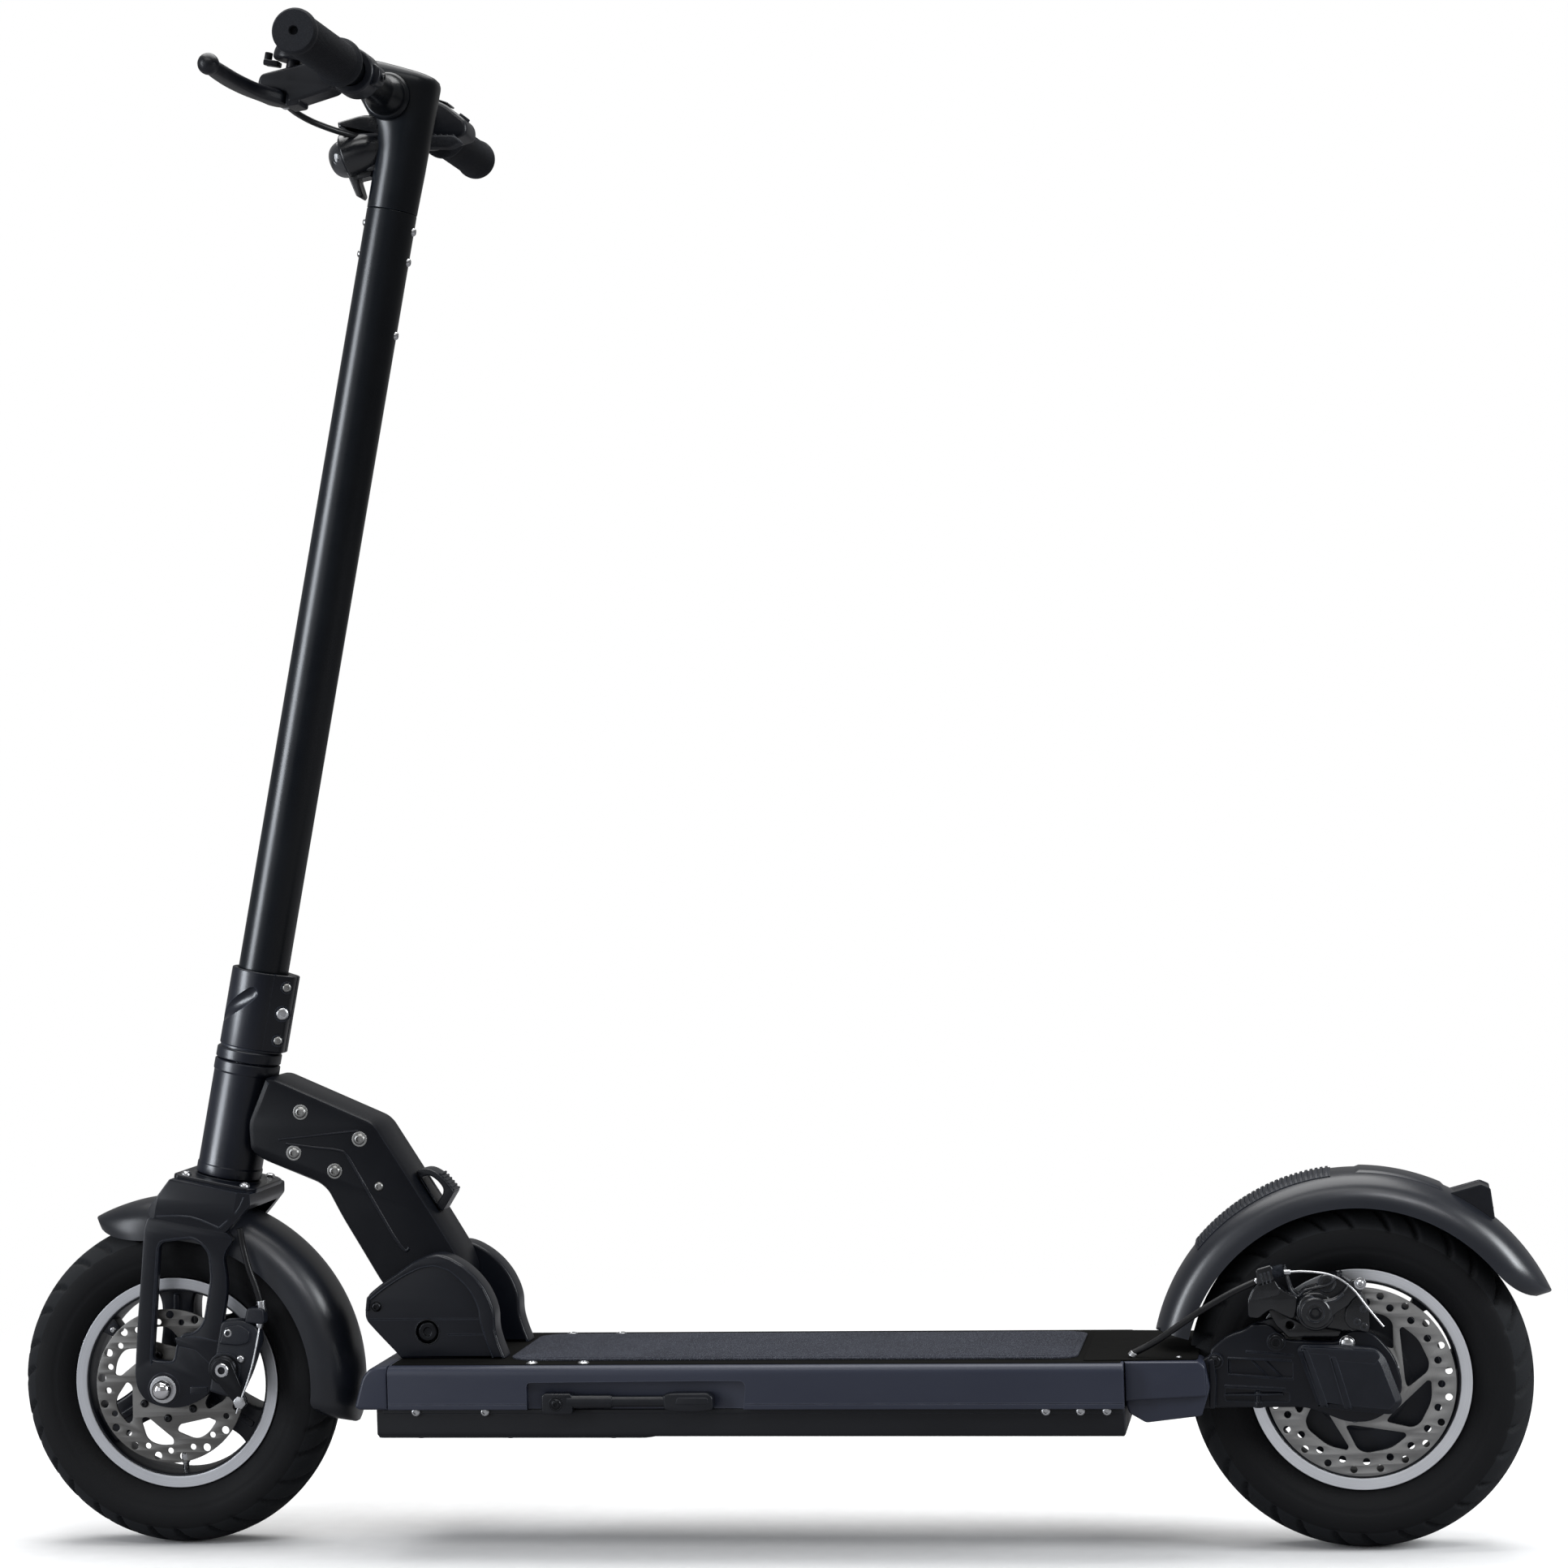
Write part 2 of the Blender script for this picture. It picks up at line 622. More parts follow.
# Screw heads: (share of the radius, share of the height), from the axis outwards
HEADS = {
    "button": [(0, 0.25), (0.40, 0.25), (0.46, 0.98), (0.62, 0.93), (0.82, 0.68), (0.96, 0.25)],
    "cap": [(0, 0.35), (0.5, 0.35), (0.55, 1), (0.9, 1), (1, 0.85)],
    "dome": [(0, 1), (0.4, 0.96), (0.75, 0.75), (0.95, 0.4), (1, 0.1)],
}


def bolt(at, axis, r=5.0, h=3.0, kind="button", sink=0.2):
    """Screw head or hexagon nut. It sits on `at` and points along the axis."""
    if kind == "nut":
        corner = r / math.cos(math.pi / 6)
        hexagon = [(corner * math.cos(math.pi / 3 * k), corner * math.sin(math.pi / 3 * k))
                   for k in range(6)]
        middle = Vector(at) + Vector(axis).normalized() * (h - sink) / 2
        return slab(hexagon, (), h + sink, 0.4, 1).xf(aim(axis, middle))
    profile = [(r * a, h * b) for a, b in HEADS[kind]] + [(r, -sink), (0, -sink)]
    return turn(profile, at, axis, 28 if kind == "dome" else 24)


def boolean(first, second, operation="DIFFERENCE"):
    obs = []
    for geo in (first, second):
        mesh = bpy.data.meshes.new("boolean")
        mesh.from_pydata(geo.v, [], geo.f)
        mesh.validate()
        ob = bpy.data.objects.new("boolean", mesh)
        bpy.context.scene.collection.objects.link(ob)
        obs.append(ob)
    modifier = obs[0].modifiers.new("boolean", "BOOLEAN")
    modifier.operation = operation
    modifier.object = obs[1]
    modifier.solver = "EXACT"
    geo = from_mesh(evaluated(obs[0]))
    for ob in obs:
        bpy.data.objects.remove(ob)
    return geo


def put(name, geo, mat, body, frame=WORLD, replaces=None, angle=34, ends=None):
    """mat is a key of MATERIALS or a list of them; angle is the sharp-edge limit in degrees;
    ends is (second body, first point, last point) for a piece that bends between two bodies.
    """
    def metres(point):
        return tuple((frame @ Vector(point)) * 0.001)

    mesh = bpy.data.meshes.new(name + "_v")
    mesh.from_pydata([metres(p) for p in geo.v], [], geo.f)
    keys = mat if isinstance(mat, list) else [mat]
    for key in keys:
        mesh.materials.append(MATERIALS[key])
    if geo.slots:
        for polygon, index in zip(mesh.polygons, geo.slots):
            polygon.material_index = index
    mesh.validate()
    bm = bmesh.new()
    bm.from_mesh(mesh)
    bmesh.ops.remove_doubles(bm, verts=bm.verts, dist=1e-6)
    bmesh.ops.recalc_face_normals(bm, faces=bm.faces)
    bm.to_mesh(mesh)
    bm.free()
    mesh.shade_smooth()
    mesh.set_sharp_from_angle(angle=math.radians(angle))
    ob = bpy.data.objects.new(name + "_v", mesh)
    bpy.context.scene.collection.objects.link(ob)
    if ends:
        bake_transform(ob)
    else:
        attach(ob, body)
    if replaces:
        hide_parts(replaces)


def swap(name, *args, **settings):
    """As put, in place of the CAD piece of the same name."""
    put(name, *args, replaces=name, **settings)


# ------------------------------------------------------------------ wheels
def tyre(axle_x):
    # Half section: radius, distance from the centre plane
    half = [(82.4, 16.5), (84, 19.5), (88, 23.6), (94, 27), (101, 28.8), (107, 29), (113, 27.6),
            (118.5, 23.5), (122.6, 18), (125.4, 12), (127, 6), (AXLE_Z, 0)]
    half = [tuple(p) for p in smooth_curve(half, 4)]
    profile = half + [(r, -y) for r, y in half[-2::-1]] + [(81.9, -8), (81.9, 8)]
    repeats = 15
    n, m = repeats * 32, len(profile)
    v, f, slots = [], [], []
    for i in range(n):
        a = 2 * math.pi * i / n
        for r, y in profile:
            rr, yy, away = r, y, abs(y)
            if r > 112:
                # Slanted cuts in pairs on the shoulders, and a groove on each side of the centre
                phase = (a * repeats / (2 * math.pi) + (0.0 if y < 0 else 0.25)
                         + away * 0.016) % 1.0
                d = min(abs(phase - 0.22), abs(phase - 0.66)) * 2
                cut = max(0.0, 1 - max(0.0, d - 0.055) / 0.06)
                shoulder = (min(1.0, max(0.0, (away - 7.5) / 1.5))
                            * min(1.0, max(0.0, (28.2 - away) / 2.5)))
                depth = max(3.3 * cut * shoulder, 1.7 * max(0.0, 1 - abs(away - 4.3) / 1.0))
                rr -= depth * (0.5 + 0.5 * (r - 112) / 15.5)
                yy -= math.copysign(depth * 0.75 * away / 29, y) if away > 12 else 0
            if 96.2 < r < 97.6:
                yy -= math.copysign(0.5, y)
            v.append((axle_x + rr * math.cos(a), yy, AXLE_Z + rr * math.sin(a)))
    for i in range(n):
        i2 = (i + 1) % n
        for j in range(m):
            j2 = (j + 1) % m
            f.append((i * m + j, i * m + j2, i2 * m + j2, i2 * m + j))
            slots.append(1 if profile[j][0] > 113.5 else 0)
    return Geo(v, f, slots)


def tyres_and_rims():
    # Sections: radius, y
    lip = [(73.6, 14.6), (72.9, 18.2), (73.5, 19.1), (74.4, 19.3), (81.0, 19.5), (82.2, 19.6),
           (82.3, 16.6), (80.0, 14.0)]
    well = [(71.2, -13.9), (72.0, -18.0), (73.4, -18.2), (76, -14.6), (79.5, -13.6), (80.2, 0),
            (79.5, 13.6), (76, 14.6), (73.4, 18.2), (72.0, 18.0), (71.2, 13.9), (70.2, 5),
            (70.2, -5)]
    for end, x in (("front", FRONT_X), ("rear", REAR_X)):
        body, centre = end + "_wheel", (x, 0, AXLE_Z)
        swap(end + "_tyre", tyre(x), ["tyre", "tread"], body, angle=50)
        lips = both(lambda sign: turn([(r, sign * h) for r, h in lip], centre, ACROSS, 160,
                                      0.35, seg=2))
        put(end + "_rim_ring", lips, "rim_" + end[0], body, angle=30)
        put(end + "_rim_well", turn(well, centre, ACROSS, 120, 0.8, seg=3), "cast", body,
            angle=40)


def front_hub():
    """Hub with three wide spokes, each with a narrow rib down the middle."""
    parts = [turn([(5.6, -31.8), (21, -31.8), (23, -30), (23.6, -21), (26.5, -17), (26.5, 17),
                   (23.6, 21), (22, 30), (20, 32), (5.6, 32)],
                  (FRONT_X, 0, AXLE_Z), ACROSS, 64, 0.8)]
    # Radius, offset square to the spoke
    spoke = [(20, -16), (46, -12.5), (64, -13.2), (74.2, -18.5), (75.4, 0), (74.2, 18.5),
             (64, 13.2), (46, 12.5), (20, 16)]
    rib = [(30, -3.2), (69, -2.6), (69, 2.6), (30, 3.2)]
    for a in (90, 210, 330):
        outline = [polar(FRONT_X, r, a, w) for r, w in spoke]
        parts.append(side(rounded(outline, [0, 8, 8, 0.5, 0, 0.5, 8, 8, 0], 6),
                          -12.5, 12.5, 3.2, res=3))
        outline = [polar(FRONT_X, r, a, w) for r, w in rib]
        parts.append(side(rounded(outline, 2, 4), -14.0, 14.0, 1.2))
    for k in range(6):
        parts.append(disc(3.6, -33.4, -31.5, on_wheel(FRONT_X, 17.5, 60 * k + 12), ACROSS,
                          20, 0.3))
    put("front_hub", join(*parts), "paint", "front_wheel", replaces="front_rim", angle=32)


def valves():
    x, z = polar(FRONT_X, 76, 270)
    stem = [(0, 0), (3.2, 0), (3.2, 4), (2.4, 5)]
    front = stem + [(2.4, 14), (3.2, 14.5), (3.2, 21.5), (2.0, 23), (0, 23)]
    put("front_valve", turn(front, (x + 1, -4, z - 3), (0.02, -0.12, 0.99), 20, 0.2), "zinc",
        "front_wheel")
    rear = stem + [(2.4, 10), (0, 10)]
    put("rear_valve", turn(rear, on_wheel(REAR_X, 76, 118, 7), (0.46, 0, -0.88), 20, 0.2),
        "zinc", "rear_wheel")


def front_wheel_details():
    bolts = [bolt(on_wheel(FRONT_X, 25.3, 360 / 7 * k + 7, -34.2), LEFT, 3.3, 1.8)
             for k in range(7)]
    put("front_rotor_bolts", join(*bolts), "darkbolt", "front_wheel")
    # Radius, angle of the rim lug
    lug = [(74, 135), (63, 136.5), (61.5, 141), (63, 145.5), (74, 147)]
    boss = turn([(0, 16), (4.2, 16), (4.0, 18.4), (0, 18.4)], on_wheel(FRONT_X, 66, 141), LEFT,
                24, 0.3)
    put("front_rim_lug", join(side([polar(FRONT_X, r, a) for r, a in lug], -17, -3, 1.4), boss),
        "paint", "front_wheel")
    put("front_rim_lug_screw", bolt(on_wheel(FRONT_X, 66, 141, -18.2), LEFT, 2.6, 1.6), "zinc",
        "front_wheel")


def rotor_plate(x, radius, bore, y0, y1, rows, window, corners):
    """Brake rotor: rows of (radius, count, phase, hole radius), seven windows of (radius, angle)."""
    outline = [polar(x, radius, 1.5 * i) for i in range(240)]
    holes = [round_hole(x, AXLE_Z, bore, 36)]
    for row_radius, count, phase, hole_radius in rows:
        for k in range(count):
            cx, cz = polar(x, row_radius, 360 * k / count + phase)
            holes.append(round_hole(cx, cz, hole_radius, 18))
    for k in range(7):
        loop = [polar(x, r, a + 360 / 7 * k) for r, a in window]
        holes.append(rounded(loop, corners, 5)[::-1])
    return side(outline, y0, y1, 0.18, holes, res=1)


def front_rotor():
    plate = rotor_plate(
        FRONT_X, radius=60, bore=12, y0=-34.3, y1=-32.5,
        rows=[(55.7, 17, 4, 3.1), (50.6, 17, 4 + 360 / 34, 2.4)],
        window=[(35.5, 225.5), (30.8, 231), (34.3, 256.5), (41, 272), (45.8, 272),
                (47.5, 257.6), (46.5, 244.6)],
        corners=[3, 3, 6, 2, 3, 6, 6])
    swap("front_rotor", plate, "rotor_f", "front_wheel", angle=30)


def rear_motor_drum():
    """Drum with nine short ribs out to the rim."""
    parts = [turn([(9.4, -27.4), (28, -27.4), (30, -25), (31, -21.4), (36, -20.8), (38, -19.6),
                   (54, -19.6), (56, -20.6), (60, -20.2), (62.4, -16), (62.4, 16), (60, 20.2),
                   (56, 20.6), (54, 19.6), (38, 19.6), (36, 20.6), (24, 20.6), (23, 27),
                   (9.4, 27)], (REAR_X, 0, AXLE_Z), ACROSS, 96, 0.7, seg=3)]
    # Radius, offset square to the rib
    rib = [(61, -5.5), (68, -4.8), (74.6, -10), (75.3, 0), (74.6, 10), (68, 4.8), (61, 5.5)]
    for k in range(9):
        outline = [polar(REAR_X, r, 40 * k + 10, w) for r, w in rib]
        parts.append(side(rounded(outline, [0, 4, 0.3, 0, 0.3, 4, 0], 4), -11, 11, 2.0))
    put("rear_motor_drum", join(*parts), "cast", "rear_wheel", replaces="rear_rim", angle=32)


def rear_rotor():
    plate = rotor_plate(
        REAR_X, radius=70, bore=22, y0=-30.1, y1=-28.0,
        rows=[(65.3, 21, 7.0, 2.7), (59.2, 21, 7.0 + 360 / 42, 2.7)],
        window=[(34.6, 250), (32.7, 258), (49.1, 310), (51.8, 309), (53.6, 293.8),
                (52.8, 273.3), (50.2, 266)],
        corners=[2.5, 2.5, 2, 2.5, 6, 4, 5])
    swap("rear_rotor", plate, "rotor_r", "rear_wheel", angle=30)
    bolts = [bolt(on_wheel(REAR_X, 27.2, 60 * k + 20, -30.1), LEFT, 3.6, 2.4) for k in range(6)]
    put("rear_rotor_bolts", join(*bolts), "zinc", "rear_wheel")


# ------------------------------------------------------------------ deck
def deck_rails():
    """Top and side walls in one section, with a pocket on the left and a line down each side."""
    foot, wall, ceiling = 116.8, 72.6, 143
    section = [(-DECK_HALF, foot), (-DECK_HALF, DECK_TOP), (DECK_HALF, DECK_TOP),
               (DECK_HALF, foot), (wall, foot), (wall, ceiling), (-wall, ceiling), (-wall, foot)]
    deck = cross(rounded(section, [1.2, 7.6, 7.6, 1.2, 0.6, 1, 1, 0.6], 10), -270, 287, 0.5)
    pocket = rounded([(-162, 90), (-162, 137.5), (-22, 138.5), (6, 138.5), (1, 90)],
                     [0, 4, 3, 6, 0], 5)
    deck = boolean(deck, side(pocket, -95, -75.8, 0.05, res=1))
    groove = both(lambda sign: cross(
        [(sign * 83.6, 120.6), (sign * 82.5, 120.6), (sign * 82.5, 121.4), (sign * 83.6, 121.4)],
        -280, 300, 0.05, res=1))
    put("deck_rails", boolean(deck, groove), "slate", "deck", replaces="deck_frame", angle=30)


def deck_covers():
    film = rounded([(-268, -77.2), (285, -77.2), (285, 77.2), (-268, 77.2)], 1.5, 3)
    put("deck_top_film", plan(film, DECK_TOP - 0.2, DECK_TOP + 0.4, 0.2), "strip", "deck")
    sheet = [(-181, -50), (-167, -62), (240, -62), (252, -54), (252, 54), (240, 62), (-167, 62),
             (-181, 50)]
    layers = join(plan(rounded(sheet, 6, 5), 150.2, 152.0, 0.7, res=3),
                  plan(rounded(inset(sheet, 5), 5, 5), 151.2, 152.35, 0.45))
    put("grip_sheet", layers, "mat", "deck", replaces="grip_mat", angle=30)
    strip = rounded([(257, -72), (341, -66), (341, 66), (257, 72)], 5, 4)
    put("deck_end_strip", plan(strip, 149.9, 151.3, 0.6), "strip", "deck")
    cap = rounded([(-270.2, 150.1), (-284, 148.9), (-290, 141), (-296.4, 119), (-293, 116.8),
                   (-270.2, 116.8)], [0, 5, 3, 2.5, 2, 0], 5)
    swap("front_deck_cap", side(cap, -DECK_HALF, DECK_HALF, 2.6, res=4), "slate", "deck")


def battery_tray():
    section = [(-75, 95), (75, 95), (75, 116.3), (72, 116.3), (72, 110), (60, 98.2),
               (-60, 98.2), (-72, 110), (-72, 116.3), (-75, 116.3)]
    tray = cross(rounded(section, [4, 4] + [0] * 8, 6), -281, 286.5, 0.9, res=3)
    end_outline = rounded([(-72.5, 95.8), (72.5, 95.8), (72.5, 116.2), (-72.5, 116.2)], 2, 4)
    ends = [cross(end_outline, a, b, 0.8) for a, b in ((-282, -268), (281, 287))]
    lip = rounded([(-276, 112.8), (-276, 116.4), (286, 116.4), (286, 112.8)], 1.2, 3)
    lips = [side(lip, *span(sign, 74.2, 76.2), 0.7) for sign in (-1, 1)]
    put("battery_tray", join(tray, *ends, *lips), "box", "deck", replaces="battery_box")
    skid = [(-282, -70), (-73, -70), (-66, -63), (-66, 63), (-73, 70), (-282, 70)]
    put("skid_plate", plan(rounded(skid, 4, 4), 93.4, 95.6, 0.8), "cast", "deck")


def deck_screws():
    screws = []
    for sign in (-1, 1):
        for x in (229, 254.6, 274, -250, -196):
            screws.append(bolt((x, sign * 75.9, 114.6), (0, sign, 0), 3.9, 2.4, sink=1.0))
        for x in (-160, -120):
            screws.append(bolt((x, sign * 70.5, 150.3), UP, 4.6, 1.3))
    for x in (-250, -180, -100, 40, 150, 262):
        for y in (-62, 62):
            screws.append(bolt((x, y, 95.4 if x > -66 else 93.6), DOWN, 3.2, 1.6))
    put("deck_screws", join(*screws), "zinc", "deck")


# ------------------------------------------------------------------ fold bracket and neck
def fold_bracket():
    # Outlines in x, z: the plate, then the outer and inner lines of its raised border
    plate = [(-267, 150.4), (-284.7, 169), (-295.6, 181), (-294.2, 198.5), (-282, 208),
             (-266, 218.4), (-256.4, 225), (-246.4, 229.2), (-235.6, 230.7), (-226.9, 228),
             (-216.4, 221.8), (-207.8, 214.2), (-200.3, 204.6), (-195.3, 194.1),
             (-193, 185.5), (-193, 173.2), (-190, 162), (-185.5, 150.4)]
    outer = [(-294.6, 187), (-293.2, 198), (-281.6, 207.3), (-265.8, 217.4), (-256.1, 224),
             (-246.3, 228.2), (-235.7, 229.7), (-227.3, 227.1), (-217, 221), (-208.5, 213.5),
             (-201.2, 204.1), (-196.3, 193.8), (-194, 185.5), (-194, 173.2), (-191, 162),
             (-187, 151.4)]
    inner = [(-291.6, 187.6), (-290.4, 196.4), (-279.6, 204.6), (-265, 213.6), (-252, 219.7),
             (-245, 221.4), (-237.9, 221.6), (-228, 218.4), (-221, 213), (-214, 206),
             (-208.5, 197.5), (-205, 188.4), (-204, 180), (-200, 165), (-195, 151.4)]
    plate = rounded(plate, [1, 3, 5, 6] + [5] * 13 + [1], 4)
    pin = (PIN_X, 0, PIN_Z)
    for name, sign in SIDES:
        body = side(plate, *span(sign, 30, 50.4), 2.2, res=3)
        cuts = [turn([(0, 40), (9.4, 40), (9.4, 49.4), (10.6, 51.5), (0, 51.5)], pin,
                     (0, sign, 0), 48)]
        for x0, z0, z1 in ((-300, 180.5, 181.5), (-230, 168.6, 169.5)):
            cuts.append(side([(x0, z0), (-180, z0), (-180, z1), (x0, z1)],
                             *span(sign, 49.7, 53), 0.05, res=1))
        for cut in cuts:
            body = boolean(body, cut)
        border = side(rounded(outer + inner[::-1], 1.2, 3), *span(sign, 49.6, 52), 1.0, res=3)
        edge = side_tube(inner[1:], sign * 51.2, 0.75, 10, 6)
        swap("hinge_bracket_" + name, join(body, border, edge), "paint", "deck", angle=32)
    profile = [(0, -48.4), (3, -48.4), (3.6, -50), (6.6, -50), (8, -48.8), (8, 48.8), (6.6, 50),
               (3.6, 50), (3, 48.4), (0, 48.4)]
    put("fold_pin", turn(profile, pin, ACROSS, 40, 0.3), "darkbolt", "deck",
        replaces="fold_pivot_pin")
    put("bracket_bolts", both(lambda sign: join(
        bolt((-286, sign * 50.5, 190.7), (0, sign, 0), 4, 2.4),
        ring(9.9, 9.0, 50.2, 50.9, pin, (0, sign, 0), 48, 0.2))), "darkbolt", "deck")


def neck_casting():
    """Plate from the fold pin up to the head tube, bored along the steering axis."""
    rear = [(-377, 366), (-370.7, 366), (-293, 331.5), (-288, 327), (-244, 256.5), (-227, 228),
            (-222, 213), (-225, 196), (-229.4, 180)]
    front = [(-263.5, 172), (-288.7, 206.1), (-307.1, 237.6), (-318.3, 256.5), (-329.2, 277.7),
             (-336, 283.6), (-380.4, 302), (-391, 309.5), (-392, 331.4)]
    foot = arc(PIN_X, PIN_Z, 17, 15, -165, 16)
    corners = [2, 3, 4, 4, 8, 8, 6, 6, 2] + [0] * 17 + [5, 8, 8, 8, 6, 4, 5, 5, 5]
    body = side(rounded(rear + foot + front, corners, 4), -29, 29, 5.2, res=1)
    axis = (math.sin(RAKE), 0, math.cos(RAKE))
    bore = turn([(0, 60), (25.3, 60), (25.3, 300), (0, 300)], (HEAD_X, 0, AXLE_Z), axis, 64)
    swap("neck_casting", boolean(body, bore), "neck", "neck", angle=32)


def neck_details():
    # Raised lines: points in x, z, distance from the centre plane, radius
    lines = [
        ([(-366.5, 318.1), (-350, 319.6), (-325, 322), (-302.3, 324.1)], 28.9, 0.9),
        ([(-360.7, 314.8), (-338, 311.6), (-320, 309.4), (-312, 305), (-300, 283.5)], 28.9, 1.1),
        ([(-311, 303.2), (-300, 283.5), (-285, 256.6), (-276, 241), (-269.2, 231.9),
          (-266.6, 230.8), (-264.6, 233.0)], 28.3, 1.55)]
    put("neck_lines", both(lambda sign: join(
        *[side_tube(points, sign * y, r, 10, 8) for points, y, r in lines])),
        "paint", "neck", angle=60)
    # Bosses: x, z, height of the bolt seat
    bosses = [(-348.5, 339.1, 28.9), (-301.7, 317.5, 28.4), (-354.8, 307.5, 28.4),
              (-322.3, 293, 28.9)]
    put("neck_bolts", both(lambda sign: join(
        *[bolt((x, sign * y, z), (0, sign, 0), 4.9, 3.0) for x, z, y in bosses],
        bolt((-287.4, sign * 28.5, 280.6), (0, sign, 0), 3.8, 2.2))),
        "zincdull", "neck", angle=30)
    put("neck_bosses", both(lambda sign: join(
        *[ring(6.0, 4.3, 27.6, 29.5, (x, 0, z), (0, sign, 0), 32, 0.4) for x, z, _ in bosses])),
        "zincdull", "neck", angle=30)


def head_tube():
    profile = [(19.2, 164), (24.2, 164), (25.6, 165), (25.6, 172), (25, 173.2), (25, 246),
               (25.7, 247.2), (25.7, 254.6), (24.4, 255.6), (19.2, 255.6)]
    swap("head_tube", turn(profile, ORIGIN, UP, 96, 0.3), "paint", "neck", FRONT, angle=32)


def latch():
    """Looped catch behind the neck with six grip ribs."""
    outline = rounded([(-263.4, 290.2), (-254, 292.6), (-246, 289), (-238.6, 281.8),
                       (-232.4, 273.8), (-242.3, 258.4), (-245.2, 260)],
                      [3, 5, 6, 5, 2, 3, 2], 5)
    opening = rounded([(-258.6, 285.4), (-252.4, 287.0), (-245.6, 282.6), (-241, 276.4),
                       (-241.8, 271.4), (-246.4, 265.4)], [2.5, 4, 4, 3, 2.5, 1.5], 5)
    ribs = []
    for k in range(6):
        x, z = -243.6 + 10.2 * k / 5, 287.2 - 12.2 * k / 5
        ribs.append(tube([(x, -8.8, z), (x, 0, z), (x, 8.8, z)], 1.1, 10, 2))
    swap("latch_slider", join(side(outline, -10, 10, 1.2, [opening[::-1]], res=3), *ribs),
         "plastic", "latch", angle=32)


# ------------------------------------------------------------------ rear end
def tail_block():
    block = side(rounded([(287.6, 150), (342, 150), (346, 147.5), (349.4, 129), (343, 109),
                          (302, 104), (290, 111), (287.6, 117)], [0, 2, 3, 3, 2, 2, 2, 0], 3),
                 -68, 68, 1.6)
    wheel_room = turn([(0, -41), (158, -41), (158, 41), (0, 41)], (REAR_X, 0, AXLE_Z), ACROSS,
                      160)
    cheek = rounded([(287.6, 150), (342, 150), (346.6, 146), (347.2, 124), (287.6, 121)],
                    [0, 1.5, 2, 2, 0], 3)
    cheeks = both(lambda sign: side(cheek, *span(sign, 60, 73), 1.8))
    swap("rear_tail_block", join(boolean(block, wheel_room), cheeks), "slate", "deck", angle=30)


def rear_arm(name, sign):
    outline = rounded(
        [(349.5, 112.5), (349.5, 155), (358.6, 163), (366, 167), (375.5, 169.9), (381, 174),
         (393.3, 174.2), (399, 168.8), (405.7, 162), (442.7, 160.7), (449, 167), (458, 170.5),
         (470, 166.5), (484, 150), (490, 127.5), (482, 112), (466, 102), (448, 102),
         (420, 113)], [3, 4, 5, 5, 4, 4, 4, 4, 6, 6, 5, 5, 8, 8, 8, 8, 8, 6, 8], 4)
    plate = side(outline, *span(sign, 45, 54), 1.6, res=3)
    recesses = (([(362.5, 137.6), (362.5, 149), (366, 149.6), (410, 147), (410, 134.2)], 51.0),
                ([(360, 117.5), (360, 127.5), (407, 124), (407, 116.8)], 52.2))
    for recess, floor_y in recesses:
        plate = boolean(plate, side(rounded(recess, 1.6, 3), *span(sign, floor_y, 57), 0.4,
                                    res=1))
    beads = [bead(a, b, sign * 54.0, 0.85) for a, b in (
        ((376, 154.2), (411, 151.2)), ((362.6, 149.4), (409, 147)),
        ((362.6, 137.2), (410, 133.8)), ((359.5, 129), (404, 126.6)),
        ((359, 122), (402, 122.4)))]
    beads += [bead(a, b, sign * 51.4, 0.9) for a, b in (
        ((379, 148.6), (391, 135.6)), ((389, 148), (402, 134.6)),
        ((363.4, 148.6), (363.6, 137.8)))]
    out = (0, sign, 0)
    bosses = [turn([(0, 51), (7.0, 51), (6.6, 55.2), (0, 55.2)], (398.3, 0, 161.3), out, 32, 0.4),
              turn([(0, 45), (5.8, 45), (5.6, 58.0), (0, 58.0)], (353.5, 0, 147.5), out, 32, 0.4)]
    upright = side(rounded([(348.4, 113), (352.4, 113), (354, 133), (352.6, 150), (348.6, 149)],
                           1.2, 3), *span(sign, 44, 60), 0.9)
    root = side(rounded([(340, 112), (340, 146), (353, 153), (353, 113)], 2, 3),
                *span(sign, 46, 56), 1.2)
    stud = turn([(0, 0), (3.6, 0), (3.4, 4), (2.4, 4.6), (2.4, 12), (0, 12)],
                (384, sign * 51.8, 112.6), UP, 20, 0.3)
    swap("rear_arm_" + name, join(plate, upright, root, stud, *beads, *bosses), "paint", "deck",
         angle=32)


def axle_cover(name, sign):
    outline = rounded([(413.4, 156.6), (416.5, 160), (447, 159.8), (470.5, 157.2), (477, 151),
                       (488.8, 118), (481, 109), (447.3, 112), (427.5, 115)],
                      [2.5, 2, 1, 3, 5, 3, 3, 1, 1.5], 4)
    parts = [
        side(outline, *span(sign, 54.4, 61.5), 1.0),
        side(outline, *span(sign, 57.0, 66.6), 5.6, res=0),
        side(rounded([(416, 158), (421.5, 157.4), (435.5, 115), (429.6, 115.4)], 1, 2),
             *span(sign, 62.0, 67.2), 1.3, res=1),
        side(rounded([(436.6, 152.5), (441.6, 152.2), (452.4, 113.6), (446.6, 113.8)], 1, 2),
             *span(sign, 62.0, 67.4), 1.3, res=1),
        side(rounded([(417, 159.4), (470, 156.6), (474, 152), (470, 146.6), (441.5, 149.2),
                      (436, 153.6), (421, 154.6)], [1, 2, 2, 1, 1, 1, 1], 2),
             *span(sign, 60.0, 66.9), 1.0, res=1)]
    swap("axle_cover_" + name, join(*parts), "cast", "deck", angle=24)


